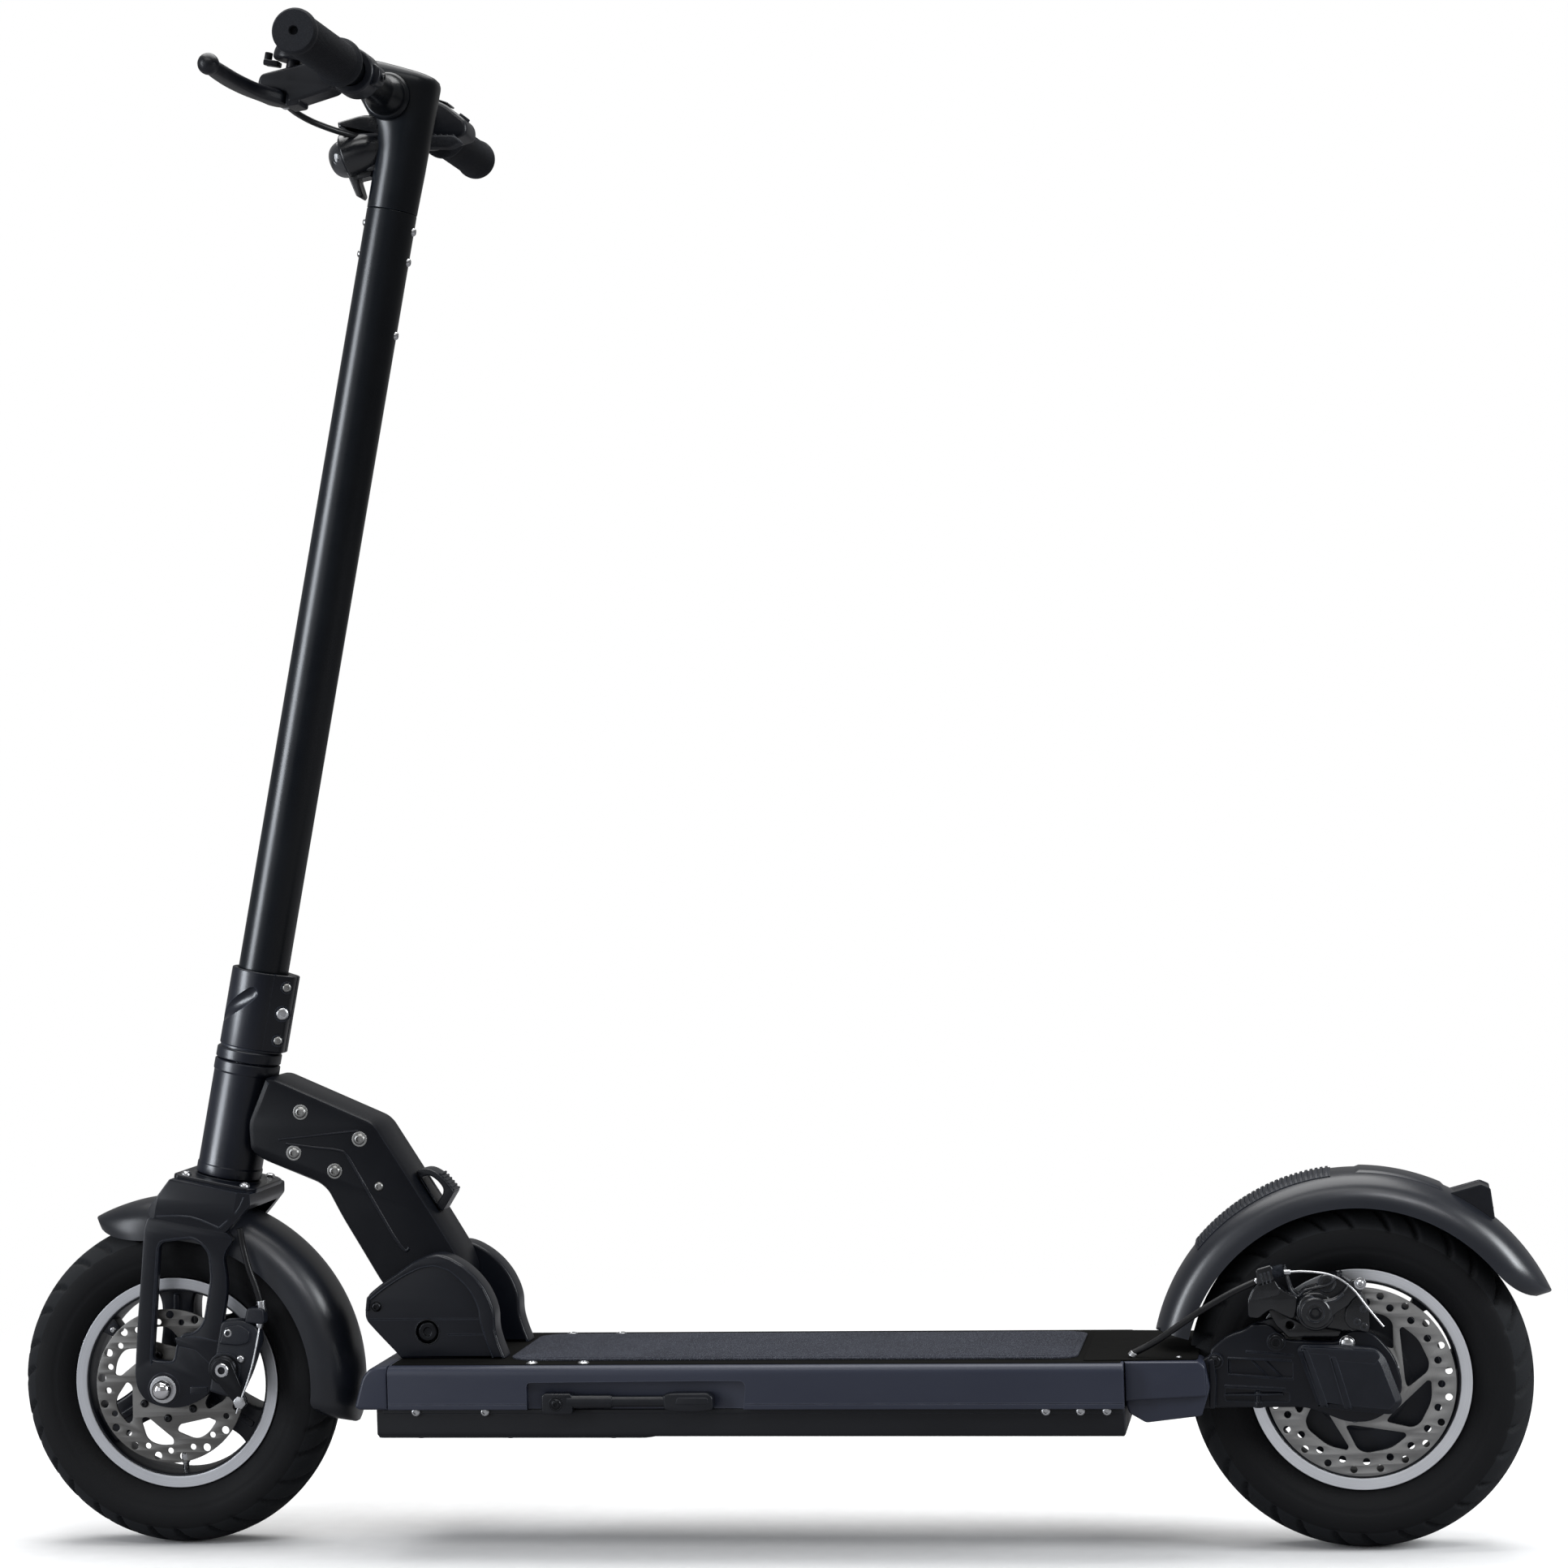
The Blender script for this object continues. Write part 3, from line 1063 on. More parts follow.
def rear_axle_and_screws():
    put("rear_arm_bolts", both(lambda sign: join(
        bolt((398.3, sign * 55.2, 161.3), (0, sign, 0), 5.6, 3.4, "cap"),
        bolt((353.5, sign * 57.8, 147.5), (0, sign, 0), 4.6, 2.2))), "darkbolt", "deck")
    put("tail_screws", both(lambda sign: bolt((327, sign * 60, 150.6), UP, 2.6, 1.4)), "zinc",
        "deck")
    put("rear_arm_screws", both(lambda sign: join(
        bolt((449.9, sign * 57.5, 160.6), (0, sign, 0), 5.4, 3.6, "dome"),
        disc(5.6, 53.6, 58, (449.9, 0, 160.6), (0, sign, 0), 28, 0.3))), "zinc", "deck")
    centre = (REAR_X, 0, AXLE_Z)
    swap("rear_axle", turn([(0, -58.8), (6.6, -58.8), (8, -57.6), (8, 57.6), (6.6, 58.8),
                            (0, 58.8)], centre, ACROSS, 40, 0.3), "zinc", "deck")
    swap("motor_stator", ring(48, 8.4, -13, 13, centre, ACROSS, 72, 1.0), "copper", "deck")


# ------------------------------------------------------------------ mudguards
SQUARENESS = 2.7    # exponent of the superellipse that gives a mudguard its section
REAR_CROWN, REAR_SKIRT, REAR_HALF = 155.5, 129.5, 38    # radii and half width


def guard(axle_x, crown, skirt, half, start, end, start_tip, end_tip):
    """Mudguard: a channel swept around the wheel; each end tapers over its tip angle."""
    thick, n, quarter = 2.6, 120, 18
    power = 2 / SQUARENESS
    # Half section from the centre out: share of the half width, radius
    section = []
    for q in range(quarter + 1):
        a = math.pi / 2 * q / quarter
        section.append((math.sin(a) ** power, skirt + (crown - skirt) * math.cos(a) ** power))
    section[-1] = (1.0, skirt)
    v, f = [], []
    for i in range(n + 1):
        a = start + (end - start) * i / n
        near = min(1.0, abs(a - start) / start_tip, abs(a - end) / end_tip)
        k = math.sqrt(max(0.0, 1 - (1 - near) ** 2.0))
        width = 0.22 + 0.78 * k
        outside, inside = [], []
        for w, r in section:
            rr = crown - (crown - r) * (0.10 + 0.90 * k)
            y = half * w * width
            outside.append((y, rr))
            inside.append((max(0.0, y - thick * min(1.0, w / 0.9)), rr - thick * (1 - w ** 6)))
        loop = ([(-y, r) for y, r in outside[::-1]] + outside[1:]
                + inside[::-1] + [(-y, r) for y, r in inside[1:]])
        c, s = math.cos(math.radians(a)), math.sin(math.radians(a))
        v += [(axle_x + r * c, y, AXLE_Z + r * s) for y, r in loop]
    m = len(loop)
    for i in range(n):
        for j in range(m):
            j2 = (j + 1) % m
            f.append((i * m + j, i * m + j2, (i + 1) * m + j2, (i + 1) * m + j))
    # The end faces join the outside to the inside as a strip
    for base, flip in ((0, False), (n * m, True)):
        outer = [base + j for j in range(m // 2)][::-1]
        inner = [base + j for j in range(m // 2, m)]
        for j in range(m // 2 - 1):
            quad = (outer[j], outer[j + 1], inner[j + 1], inner[j])
            f.append(quad if flip else quad[::-1])
    return Geo(v, f)


def rear_crown_radius(y):
    w = min(1.0, abs(y) / REAR_HALF)
    return REAR_SKIRT + (REAR_CROWN - REAR_SKIRT) * (1 - w ** SQUARENESS) ** (1 / SQUARENESS)


def band(start, end, half, outer_radius, n, ny):
    """Closed strip on the rear mudguard; outer_radius takes an angle and a distance across."""
    inner_radius = 152.6
    v, f = [], []
    for i in range(n + 1):
        a = start + (end - start) * i / n
        c, s = math.cos(math.radians(a)), math.sin(math.radians(a))
        for j in range(ny + 1):
            y = -half + 2 * half * j / ny
            r = outer_radius(a, y)
            v.append((REAR_X + r * c, y, AXLE_Z + r * s))
        for j in range(ny + 1):
            y = half - 2 * half * j / ny
            v.append((REAR_X + inner_radius * c, y, AXLE_Z + inner_radius * s))
    m = 2 * (ny + 1)
    for i in range(n):
        for j in range(m):
            j2 = (j + 1) % m
            f.append((i * m + j, i * m + j2, (i + 1) * m + j2, (i + 1) * m + j))
    f.append(tuple(range(m))[::-1])
    f.append(tuple(n * m + j for j in range(m)))
    return Geo(v, f)


def rear_fender():
    shell = guard(REAR_X, REAR_CROWN, REAR_SKIRT, REAR_HALF, 24, 166.5, 15, 1.2)
    swap("rear_fender", shell, "fender", "deck", angle=50)

    def ribbed(a, y):
        on_rib = (a - 97.2) % 1.43 < 0.72 and 97.2 < a < 139.9 and abs(y) < 22.5
        return rear_crown_radius(y) + 0.7 + (1.15 if on_rib else 0.0)

    def raised(a, y):
        ends = min(1, (a - 65) / 1.2, (90 - a) / 1.2)
        return rear_crown_radius(y) + 1.3 * ends * min(1.0, (20 - abs(y)) / 1.5 + 0.2)

    put("foot_pad", band(96.6, 140.2, 24, ribbed, 400, 16), "cast", "deck", angle=40)
    put("fender_pad", band(65, 90, 20, raised, 60, 20), "fender", "deck", angle=40)


def tail_light():
    body = [polar(REAR_X, 154.6, 64), (527, 263.5), (551, 270), (557, 267.4),
            polar(REAR_X, 155.6, 49.6), polar(REAR_X, 150, 56)]
    put("tail_light_body", side(rounded(body, [0, 1, 1, 0.6, 1, 0], 3), -17, 17, 1.0),
        "plastic", "deck", replaces="tail_light")
    lens = [(553.2, 265.6), (556.0, 264.8), (560.2, 252.6), (556.4, 254.0)]
    put("tail_light_lens", side(rounded(lens, 1.2, 3), -15, 15, 0.8), "red", "deck")
    stay = rounded([(384, 163), (380.5, 173), (397, 178), (408, 167)], 3, 3)
    put("fender_stay", both(lambda sign: side(stay, *span(sign, 38.6, 45.6), 1.0)), "fender",
        "deck")


# ------------------------------------------------------------------ rear caliper and cable
def rear_caliper():
    """Caliper on the left of the rear rotor; outlines in x, z."""
    slot = turn([(0, -32.4), (71.6, -32.4), (71.6, -26.2), (0, -26.2)], (REAR_X, 0, AXLE_Z),
                ACROSS, 96)
    foot = side(rounded([(392.642, 184.57), (396.886, 185.844), (404.901, 180.65),
                         (419.989, 173.3), (446.393, 168.89), (444.036, 163.99),
                         (406.787, 163.99), (398.3, 173.3)], 2, 3),
                -52, -46, 1.0, [arc(408.7, 173.1, 2.9, 0, -360, 16)[:-1]])
    front_block = side(rounded(
        [(378.308, 180.16), (378.308, 193.88), (382.269, 201.72), (385.098, 204.66),
         (386.041, 215.244), (396.414, 218.184), (397.829, 208.58), (402.544, 201.72),
         (407.73, 197.8), (415.274, 195.35), (414.803, 186.04), (411.502, 178.2),
         (403.015, 182.12), (395.471, 186.04), (390.756, 183.1), (386.041, 179.18)],
        [2, 3, 2, 2, 1.5, 1.5, 2, 2, 3, 3, 3, 3, 2, 2, 2, 2], 3), -60, -40, 1.6, res=3)
    front_pad = side(rounded(
        [(379.44, 192.9), (389.813, 193.88), (401.129, 196.82), (402.544, 200.74),
         (398.3, 208.09), (386.041, 203.68), (382.741, 200.74)], 1.6, 3), -61.6, -58, 0.8)
    middle = side(rounded(
        [(411.502, 178.2), (414.331, 189.96), (414.803, 194.86), (428.476, 201.23),
         (433.191, 208.58), (441.678, 211.52), (451.58, 205.444), (457.709, 201.72),
         (465.253, 189.96), (466.385, 172.32), (465.253, 167.91), (446.393, 168.89),
         (419.989, 173.3)], 3, 3), -56, -33.4, 2.2, res=3)
    rear_block = side(rounded(
        [(449.222, 186.04), (454.409, 193.88), (460.067, 197.8), (466.196, 187.51),
         (466.668, 172.32), (465.253, 168.204), (452.051, 171.83), (448.279, 177.22)], 2, 3),
        -60.5, -46, 1.4, res=3)
    hoop = [(405.373, 216.42), (407.919, 207.6), (410.37, 199.76), (415.463, 195.252),
            (419.989, 198.976), (428.476, 201.426), (437.435, 203.68), (443.564, 208.58),
            (447.336, 211.52)]
    hoops = [side_tube(hoop, y, 1.25, 10, 6) for y in (-57.5, -44)]
    eye = turn([(0, 55.6), (6.4, 55.6), (6.8, 56.6), (6.2, 57.2), (4.6, 56.8), (4.2, 55.9),
                (0, 55.9)], (436.492, 0, 204.17), LEFT, 36)
    boss = turn([(0, 46), (14.2, 46), (14.2, 58.6), (13.2, 59.6), (0, 59.6)],
                (PIVOT_X, 0, PIVOT_Z), LEFT, 56, 0.4)
    inner_body = side(rounded([(404, 166), (409, 186.5), (428, 196.5), (446, 198), (446, 168)],
                              3, 4), -34.5, -22, 1.4, res=3)
    # Clamp block and knurled adjuster on the cable side
    block = side(rounded(
        [(384.909, 215.244), (386.984, 216.42), (395.943, 218.968), (397.829, 216.42),
         (398.489, 208.09), (386.041, 204.464)], 1.2, 3), -63.5, -53, 1.2)
    ribs = [side_tube([(x, z), (x + 0.8, z - 4), (x + 1.6, z - 8)], -63.4, 0.7, 8, 2)
            for x, z in ((388.6, 212.5), (391.4, 213.3), (394.2, 214.1))]
    knurl = []
    for k in range(14):
        knurl += [(4.9, k * 0.55), (4.3, k * 0.55 + 0.28)]
    adjuster = turn([(0, 0)] + knurl + [(4.9, 7.7), (0, 7.7)], (397.546, -59.6, 212.99),
                    (0.98, 0, 0.20), 28)
    bolts = [bolt((x, -60.4, z), LEFT, 2.6, 1.6, "cap")
             for x, z in ((462.424, 173.3), (457.709, 176.73), (462.424, 186.04))]
    parts = [boolean(middle, slot), boolean(inner_body, slot), foot, front_block, front_pad,
             rear_block, *hoops, eye, boss, block, *ribs, adjuster, *bolts]
    swap("rear_caliper", join(*parts), "gloss", "deck")


def rear_brake_arm():
    outline = rounded(
        [(414.803, 188), (417.16, 194.86), (423.761, 197.996), (431.305, 193.292),
         (441.678, 194.86), (449.222, 200.74), (452.523, 206.62), (457.709, 209.07),
         (462.613, 205.15), (461.481, 198.78), (454.88, 193.88), (450.165, 188),
         (441.678, 183.1), (436.02, 176.24), (427.533, 171.83), (419.989, 174.28),
         (415.463, 181.14)], [4, 5, 5, 5, 5, 4, 4, 4, 4, 4, 3, 4, 5, 5, 5, 5, 4], 4)
    boss = turn([(0, 59.8), (11.3, 59.8), (11.3, 66.2), (10.2, 67.2), (6.6, 67.2), (6.0, 64.4),
                 (0, 64.4)], (PIVOT_X, 0, PIVOT_Z), LEFT, 48, 0.3)
    line = side_tube([(423.761, 196.624), (429.419, 192.508), (435.077, 191.92),
                      (442.621, 193.684), (448.279, 197.8)], -65.4, 0.8, 8, 5)
    body = "rear_brake_arm"
    swap("rear_caliper_arm", join(side(outline, -65.4, -60.6, 1.5, res=3), boss, line), "gloss",
         body)
    put("rear_caliper_pin", bolt((PIVOT_X, -64.2, PIVOT_Z), LEFT, 4.6, 2.2, "cap"), "darkbolt",
        body)
    put("rear_caliper_pinch", join(
        bolt((460.6, -65.2, 205.2), LEFT, 3.2, 2.6),
        disc(4.4, 64.9, 65.9, (460.6, 0, 205.2), LEFT, 24, 0.3)), "zinc", body)


def rear_cable():
    put("rear_cable", tube([(294, -60, 154.5), (306, -60.6, 160.5), (318, -61, 168),
                            (334, -61, 179), (350, -61, 189), (368, -60.5, 199),
                            (384, -59.5, 206.2)], 2.5, 16, 8),
        "cable", "deck", replaces="rear_brake_cable")
    put("rear_cable_ends", join(
        ball(2.3, (385.2, -59.6, 206.9), 20),
        turn([(0, 0), (1.9, 0), (1.9, 4.6), (1.3, 5.2), (0, 5.2)], (405.6, -59.6, 213.2),
             (1, 0, 0.03), 16, 0.2),
        turn([(0, 0), (3.6, 0), (3.0, 3.4), (0, 3.4)], (292.5, -60, 152), (0.55, 0, 0.84), 20,
             0.3)), "zinc", "deck")
    put("rear_wire", tube([(409, -59.6, 213.4), (418, -60.2, 213.8), (427.5, -61.5, 213.4),
                           (436, -63.4, 212.4), (444, -65, 209.8), (451, -66.3, 205.4),
                           (457, -67, 199.6), (463, -66.6, 191.4), (470, -65.4, 182),
                           (476.6, -64, 173.6)], 0.8, 10, 8),
        "wire", "deck", ends=("rear_brake_arm", (430, -62, 213), (466, -66, 188)))


def kickstand():
    """Side stand folded along the left of the deck."""
    y, z = -81.9, 123.4
    parts = [
        side(rounded([(-150, 113.8), (-150, 129.8), (-126, 129.8), (-126, 113.8)], 3.4, 4),
             -86.4, -76.4, 1.6, res=3),
        tube([(-130, y, z), (-113, y, z), (-97, y, z)], 5.4, 28, 4),
        turn([(0, 0), (5.0, 0), (5.0, 1.4), (0, 1.4)], (-97.2, y, z), (1, 0, 0), 28, 0.3),
        tube([(-98, y, z), (-76, y, z), (-52, y, z)], 4.3, 28, 4),
        side(rounded([(-56, 117.6), (-57, 128.4), (-50, 129.9), (-23, 130), (-18.8, 127),
                      (-18.6, 117.2), (-30, 115.8), (-50, 116)],
                     [2, 2, 3, 2, 2, 2.4, 4, 3], 4), -86.7, -76.6, 1.7, res=3),
        side(rounded([(-47, 121.4), (-46, 126.6), (-22.5, 126.6), (-22, 121.8)], 1.6, 4),
             -87.4, -86.2, 0.5)]
    put("kickstand", join(*parts), "plastic", "kickstand", replaces="kickstand_leg")
    put("kickstand_screw", join(
        bolt((-138.6, -86.2, 121.8), LEFT, 4.2, 1.8),
        ring(5.6, 3.9, 85.6, 86.7, (-138.6, 0, 121.8), LEFT, 28, 0.2)), "darkbolt", "kickstand")


# ------------------------------------------------------------------ fork, in the FRONT frame
def fork_crown():
    body = side(rounded([(-31.6, 160.3), (32.6, 160.3), (34.4, 152), (20, 127.6), (-42, 127.2),
                         (-45.4, 133)], [1.5, 1.5, 1.5, 2, 2, 2], 3), -50, 50, 1.2, res=1)
    chamfered = plan([(-60, -40), (-38, -50.2), (23, -50.2), (60, -31), (60, 31), (23, 50.2),
                      (-38, 50.2), (-60, 40)], 100, 190, 0.05, res=1)
    body = boolean(body, chamfered, "INTERSECT")
    wheel_gap = plan([(-80, -38.6), (60, -38.6), (60, 38.6), (-80, 38.6)], 100, 146.6, 0.05,
                     res=1)
    bore = turn([(0, 120), (14.8, 120), (14.8, 175), (0, 175)], ORIGIN, UP, 48)
    body = boolean(boolean(body, wheel_gap), bore)
    facets = both(lambda sign: join(
        tube([(-36.5, sign * 50.1, 129.5), (-10, sign * 50.3, 134.6), (14, sign * 50.1, 130.6)],
             0.7, 8, 3),
        tube([(15, sign * 50.0, 131), (26, sign * 48.4, 146), (29, sign * 47.2, 157)],
             0.75, 8, 3)))
    plate = plan(rounded([(-29.5, -41), (28, -41), (34, -33), (34, 33), (28, 41), (-29.5, 41),
                          (-32.5, 37), (-32.5, -37)], 2, 3), 159.4, 163.4, 1.0,
                 [round_hole(0, 0, 25.2, 40)], res=3)
    race = turn([(15, 160.5), (27.5, 160.5), (26.6, 163.6), (15, 163.6)], ORIGIN, UP, 72, 0.5)
    swap("fork_crown", join(body, facets, plate, race), "paint", "steering", FRONT, angle=24)
    put("fork_bolts", both(lambda sign: join(
        *[bolt((d, sign * 33, 163.2), UP, 4.2, 2.8) for d in (-24, 24)])),
        "zinc", "steering", FRONT)


def fork_arms():
    outline = rounded(
        [(-44, 126.7), (-45.4, 118), (-41.5, 81), (-38, 45.5), (-33, 5.4), (-29.5, -5.5),
         (-21, -14), (-6, -16), (10, -13), (23.2, -3.5), (29.5, 4), (29.5, 61), (29, 88),
         (20.7, 110), (27.3, 123.5), (20, 128.4), (-40, 128.4)],
        [3, 4, 0, 0, 4, 6, 8, 8, 8, 6, 6, 10, 12, 8, 4, 2, 2], 5)
    window = rounded(
        [(-31, 109.7), (-4, 118), (8.4, 110.2), (13.9, 90.1), (14.2, 56.2), (8.5, 46.6),
         (-1.7, 43.8), (-4.2, 33.8), (-4, 21.2), (-20.8, 19.2)],
        [6, 6, 6, 5, 6, 5, 5, 4, 4, 4], 5)
    rim = inset(window, -1.6)
    for name, sign in SIDES:
        plate = side(outline, *span(sign, 41.4, 49.4), 1.3, [window[::-1]], res=1)
        rim_line = side_tube(rim[::2] + rim[:1], sign * 49.2, 0.7, 8, 2)
        boss = turn([(5.6, 40.9), (12.4, 40.9), (12.8, 42), (12.8, 49.6), (12.2, 50.0),
                     (5.6, 50.0)], (AXLE_D, 0, AXLE_S), (0, sign, 0), 64, 0.4)
        pads = [side(rounded([(-6, 40), (-3, 33.6), (12, 33.6), (27, 24), (29, 31), (29, 44),
                              (12, 44)], 2, 3), *span(sign, 47.6, 50.0), 0.8, res=1),
                side(rounded([(14, -1), (27.4, 3.2), (27, 7.6), (13, 5)], 1.4, 3),
                     *span(sign, 47.6, 50.6), 0.8, res=1)]
        swap("fork_arm_" + name, join(plate, rim_line, boss, *pads), "paint", "steering", FRONT,
             angle=32)


def front_axle():
    centre = (AXLE_D, 0, AXLE_S)
    nut = [(0, 60.6), (3.0, 60.3), (5.6, 58.8), (7.2, 56.4), (7.9, 53.4), (8.0, 51.0), (0, 51.0)]
    nuts = both(lambda sign: turn(nut, centre, (0, sign, 0), 48))
    swap("front_axle", join(nuts, disc(5, -50, 50, centre, ACROSS, 40, 0.2)), "chrome",
         "steering", FRONT, angle=40)
    put("front_axle_washers", both(lambda sign: ring(
        10.6, 5.2, 49.9, 51.3, centre, (0, sign, 0), 48, 0.35)), "zinc", "steering", FRONT)


def capsule(a, b, ra, rb):
    """Outline around two circles."""
    angle = math.degrees(math.atan2(b[1] - a[1], b[0] - a[0]))
    return (arc(a[0], a[1], ra, angle + 90, angle + 270, 12)
            + arc(b[0], b[1], rb, angle - 90, angle + 90, 10))


def front_caliper():
    slot = turn([(0, -36.4), (61.6, -36.4), (61.6, -30.6), (0, -30.6)], (AXLE_D, 0, AXLE_S),
                ACROSS, 96)
    outer = side(rounded([(28, 4), (28, 60), (44, 64), (56, 62), (62, 52), (58, 24), (52, 2)],
                         [2, 5, 6, 6, 7, 6, 5], 5), -50, -36.4, 2.2, res=3)
    inner = side(rounded([(33, 22), (30, 52), (44, 60), (54, 46), (52, 24)], 3, 4),
                 -37.2, -25, 1.4, res=3)
    pivot = (38, 24.1)
    parts = [side(rounded([(47, 62), (47, 74), (60, 76), (63, 64)], 3, 4), -50.5, -38.5, 1.6,
                  res=3),
             disc(13.0, 48.6, 51.6, (pivot[0], 0, pivot[1]), LEFT, 40, 0.8),
             side(rounded([(30, 42), (33, 57), (44, 60.5), (53, 57), (54, 48), (46, 44)], 3, 4),
                  -52.2, -48, 1.4, res=3)]
    swap("front_caliper", join(boolean(outer, slot), boolean(inner, slot), *parts), "cast",
         "steering", FRONT)
    boss = turn([(0, 50.6), (11, 50.6), (11, 55.6), (9.8, 56.8), (6.6, 56.8), (6.2, 55),
                 (0, 55)], (pivot[0], 0, pivot[1]), LEFT, 40, 0.25)
    arm = side(capsule(pivot, (57, 3), 9, 5), -57.6, -53.6, 1.1)
    swap("front_caliper_arm", join(arm, boss), "darkbolt", "front_brake_arm", FRONT)
    put("front_caliper_pin", join(bolt((pivot[0], -55, pivot[1]), LEFT, 5.4, 4.2, "cap"),
                                  bolt((57, -57.5, 3), LEFT, 4.4, 3.4, "nut")),
        "zinc", "front_brake_arm", FRONT)
    put("front_caliper_screws", join(bolt((36, -50, 52), LEFT, 4.2, 2.8),
                                     bolt((49, -50, 34), LEFT, 3.4, 2.4)),
        "zinc", "steering", FRONT)


def front_cable():
    put("front_cable", tube([(30, -47, 133), (34, -46, 121), (38, -46, 112), (43, -46, 102),
                             (49, -45.4, 92), (54, -44.6, 82), (57, -44, 74)], 2.5, 16, 8),
        "cable", "steering", FRONT, replaces="front_brake_cable")
    put("front_cable_ends", join(
        turn([(0, 0), (3.4, 0), (3.4, 9), (2.7, 9.6), (0, 9.6)], (55.4, -44.3, 80.5),
             (0.30, 0.02, -0.95), 20, 0.3),
        turn([(0, 0), (3.2, 0), (3.2, 6), (2.2, 7), (0, 7)], (57.6, -44.6, 66),
             (0.05, 0, -1), 20, 0.3)), "zinc", "steering", FRONT)
    put("front_wire", tube([(57.8, -44.8, 64), (59.6, -50, 52), (60.4, -54, 36),
                            (59.6, -57.4, 20), (57.4, -59, 6), (55.5, -59, -6)], 0.85, 10, 8),
        "wire", "steering", FRONT,
        ends=("front_brake_arm", (57.8, -44.8, 56), (59.0, -57.4, 12)))


def front_fender():
    swap("front_fender", guard(FRONT_X, 145.5, 114, 36, -13, 117, 7, 24), "fender", "steering",
         angle=50)


# ------------------------------------------------------------------ collar and stem, FRONT frame
def collar_groove(sign):
    """Rounded cutter from one side of the collar, down and round its front."""
    # Angle from the side in degrees, s, radius of the cutter
    stations = [(12.5, 315.6, 0.8), (11.2, 315.2, 3.6), (8.6, 314.0, 5.6), (3.0, 311.4, 6.8),
                (-10, 306.0, 7.3), (-28, 299.4, 7.3), (-46, 293.4, 6.9), (-62, 288.4, 6.0),
                (-76, 284.4, 4.6), (-88, 281.2, 3.2)]
    reach = 28.6
    path = [(reach * math.sin(math.radians(a)), sign * reach * math.cos(math.radians(a)), s)
            for a, s, _ in stations]
    return tube(path, [r for *_, r in stations], 28, 5)


def stem_collar():
    """Split clamp around the stem, with its ears to the rear."""
    round_part = [(24.2 * math.cos(math.radians(t)), 24.2 * math.sin(math.radians(t)))
                  for t in range(54, 307, 4)]
    ears = rounded([(15.2, -18.8), (28.4, -8.6), (28.4, 8.6), (15.2, 18.8)],
                   [0.2, 3.4, 3.4, 0.2], 5)[1:-1]
    collar = plan(round_part + ears, 267.0, 328.2, 1.3, [round_hole(0, 0, 20.2, 60)], res=3)
    collar = boolean(collar, plan([(15, -1.0), (40, -1.0), (40, 1.0), (15, 1.0)], 250, 340,
                                  0.05, res=1))
    for sign in (-1, 1):
        collar = boolean(collar, collar_groove(sign))
    base = turn([(15, 256.2), (24.6, 256.2), (25.5, 257), (25.5, 264.0), (24.6, 265),
                 (23.4, 265.4), (23.4, 268), (15, 268)], ORIGIN, UP, 128, 0.4)
    rims, bolts, screws = [], [], []
    for s, r in ((277.0, 3.7), (298.4, 5.2), (319.2, 3.7)):
        for sign in (-1, 1):
            out = Vector((0.40, sign * 0.917, 0)).normalized()
            seat = Vector((24.9, -12.46, s) if sign < 0 else (20.0, 14.6, s)) + out * 0.1
            rims.append(turn([(r + 0.1, -1.0), (r + 1.2, -1.0), (r + 1.2, 0.5), (r + 0.1, 0.7)],
                             seat, out, 32, 0.15))
            (bolts if r > 5 else screws).append(bolt(tuple(seat), tuple(out), r, 1.5))
    swap("stem_collar", join(collar, base, *rims), "paint", "steering", FRONT, angle=30)
    put("collar_bolts", join(*bolts), "zinc", "steering", FRONT)
    put("collar_screws", join(*screws), "zincdull", "steering", FRONT)


def stem_tubes():
    swap("steerer_tube", ring(14.5, 12, 147, 322, ORIGIN, UP), "zinc", "steering", FRONT)
    tube_profile = [(17, 300.6), (19.6, 300.6), (19.6, 930.4), (19.2, 930.9), (17, 930.9)]
    swap("stem_tube", turn(tube_profile, ORIGIN, UP, 160, 0.3), "stem", "steering", FRONT,
         angle=32)


def oval(front, rear, half, s, n, power=2.0, tilt=0.0):
    """Section across the stem: an ellipse behind, squarer with a higher power."""
    out = []
    for k in range(n):
        c, q = math.cos(2 * math.pi * k / n), math.sin(2 * math.pi * k / n)
        d = -abs(front) * abs(c) ** (2 / power) if c < 0 else rear * c
        out.append((d, half * math.copysign(abs(q) ** (2 / power), q), s + tilt * d))
    return out


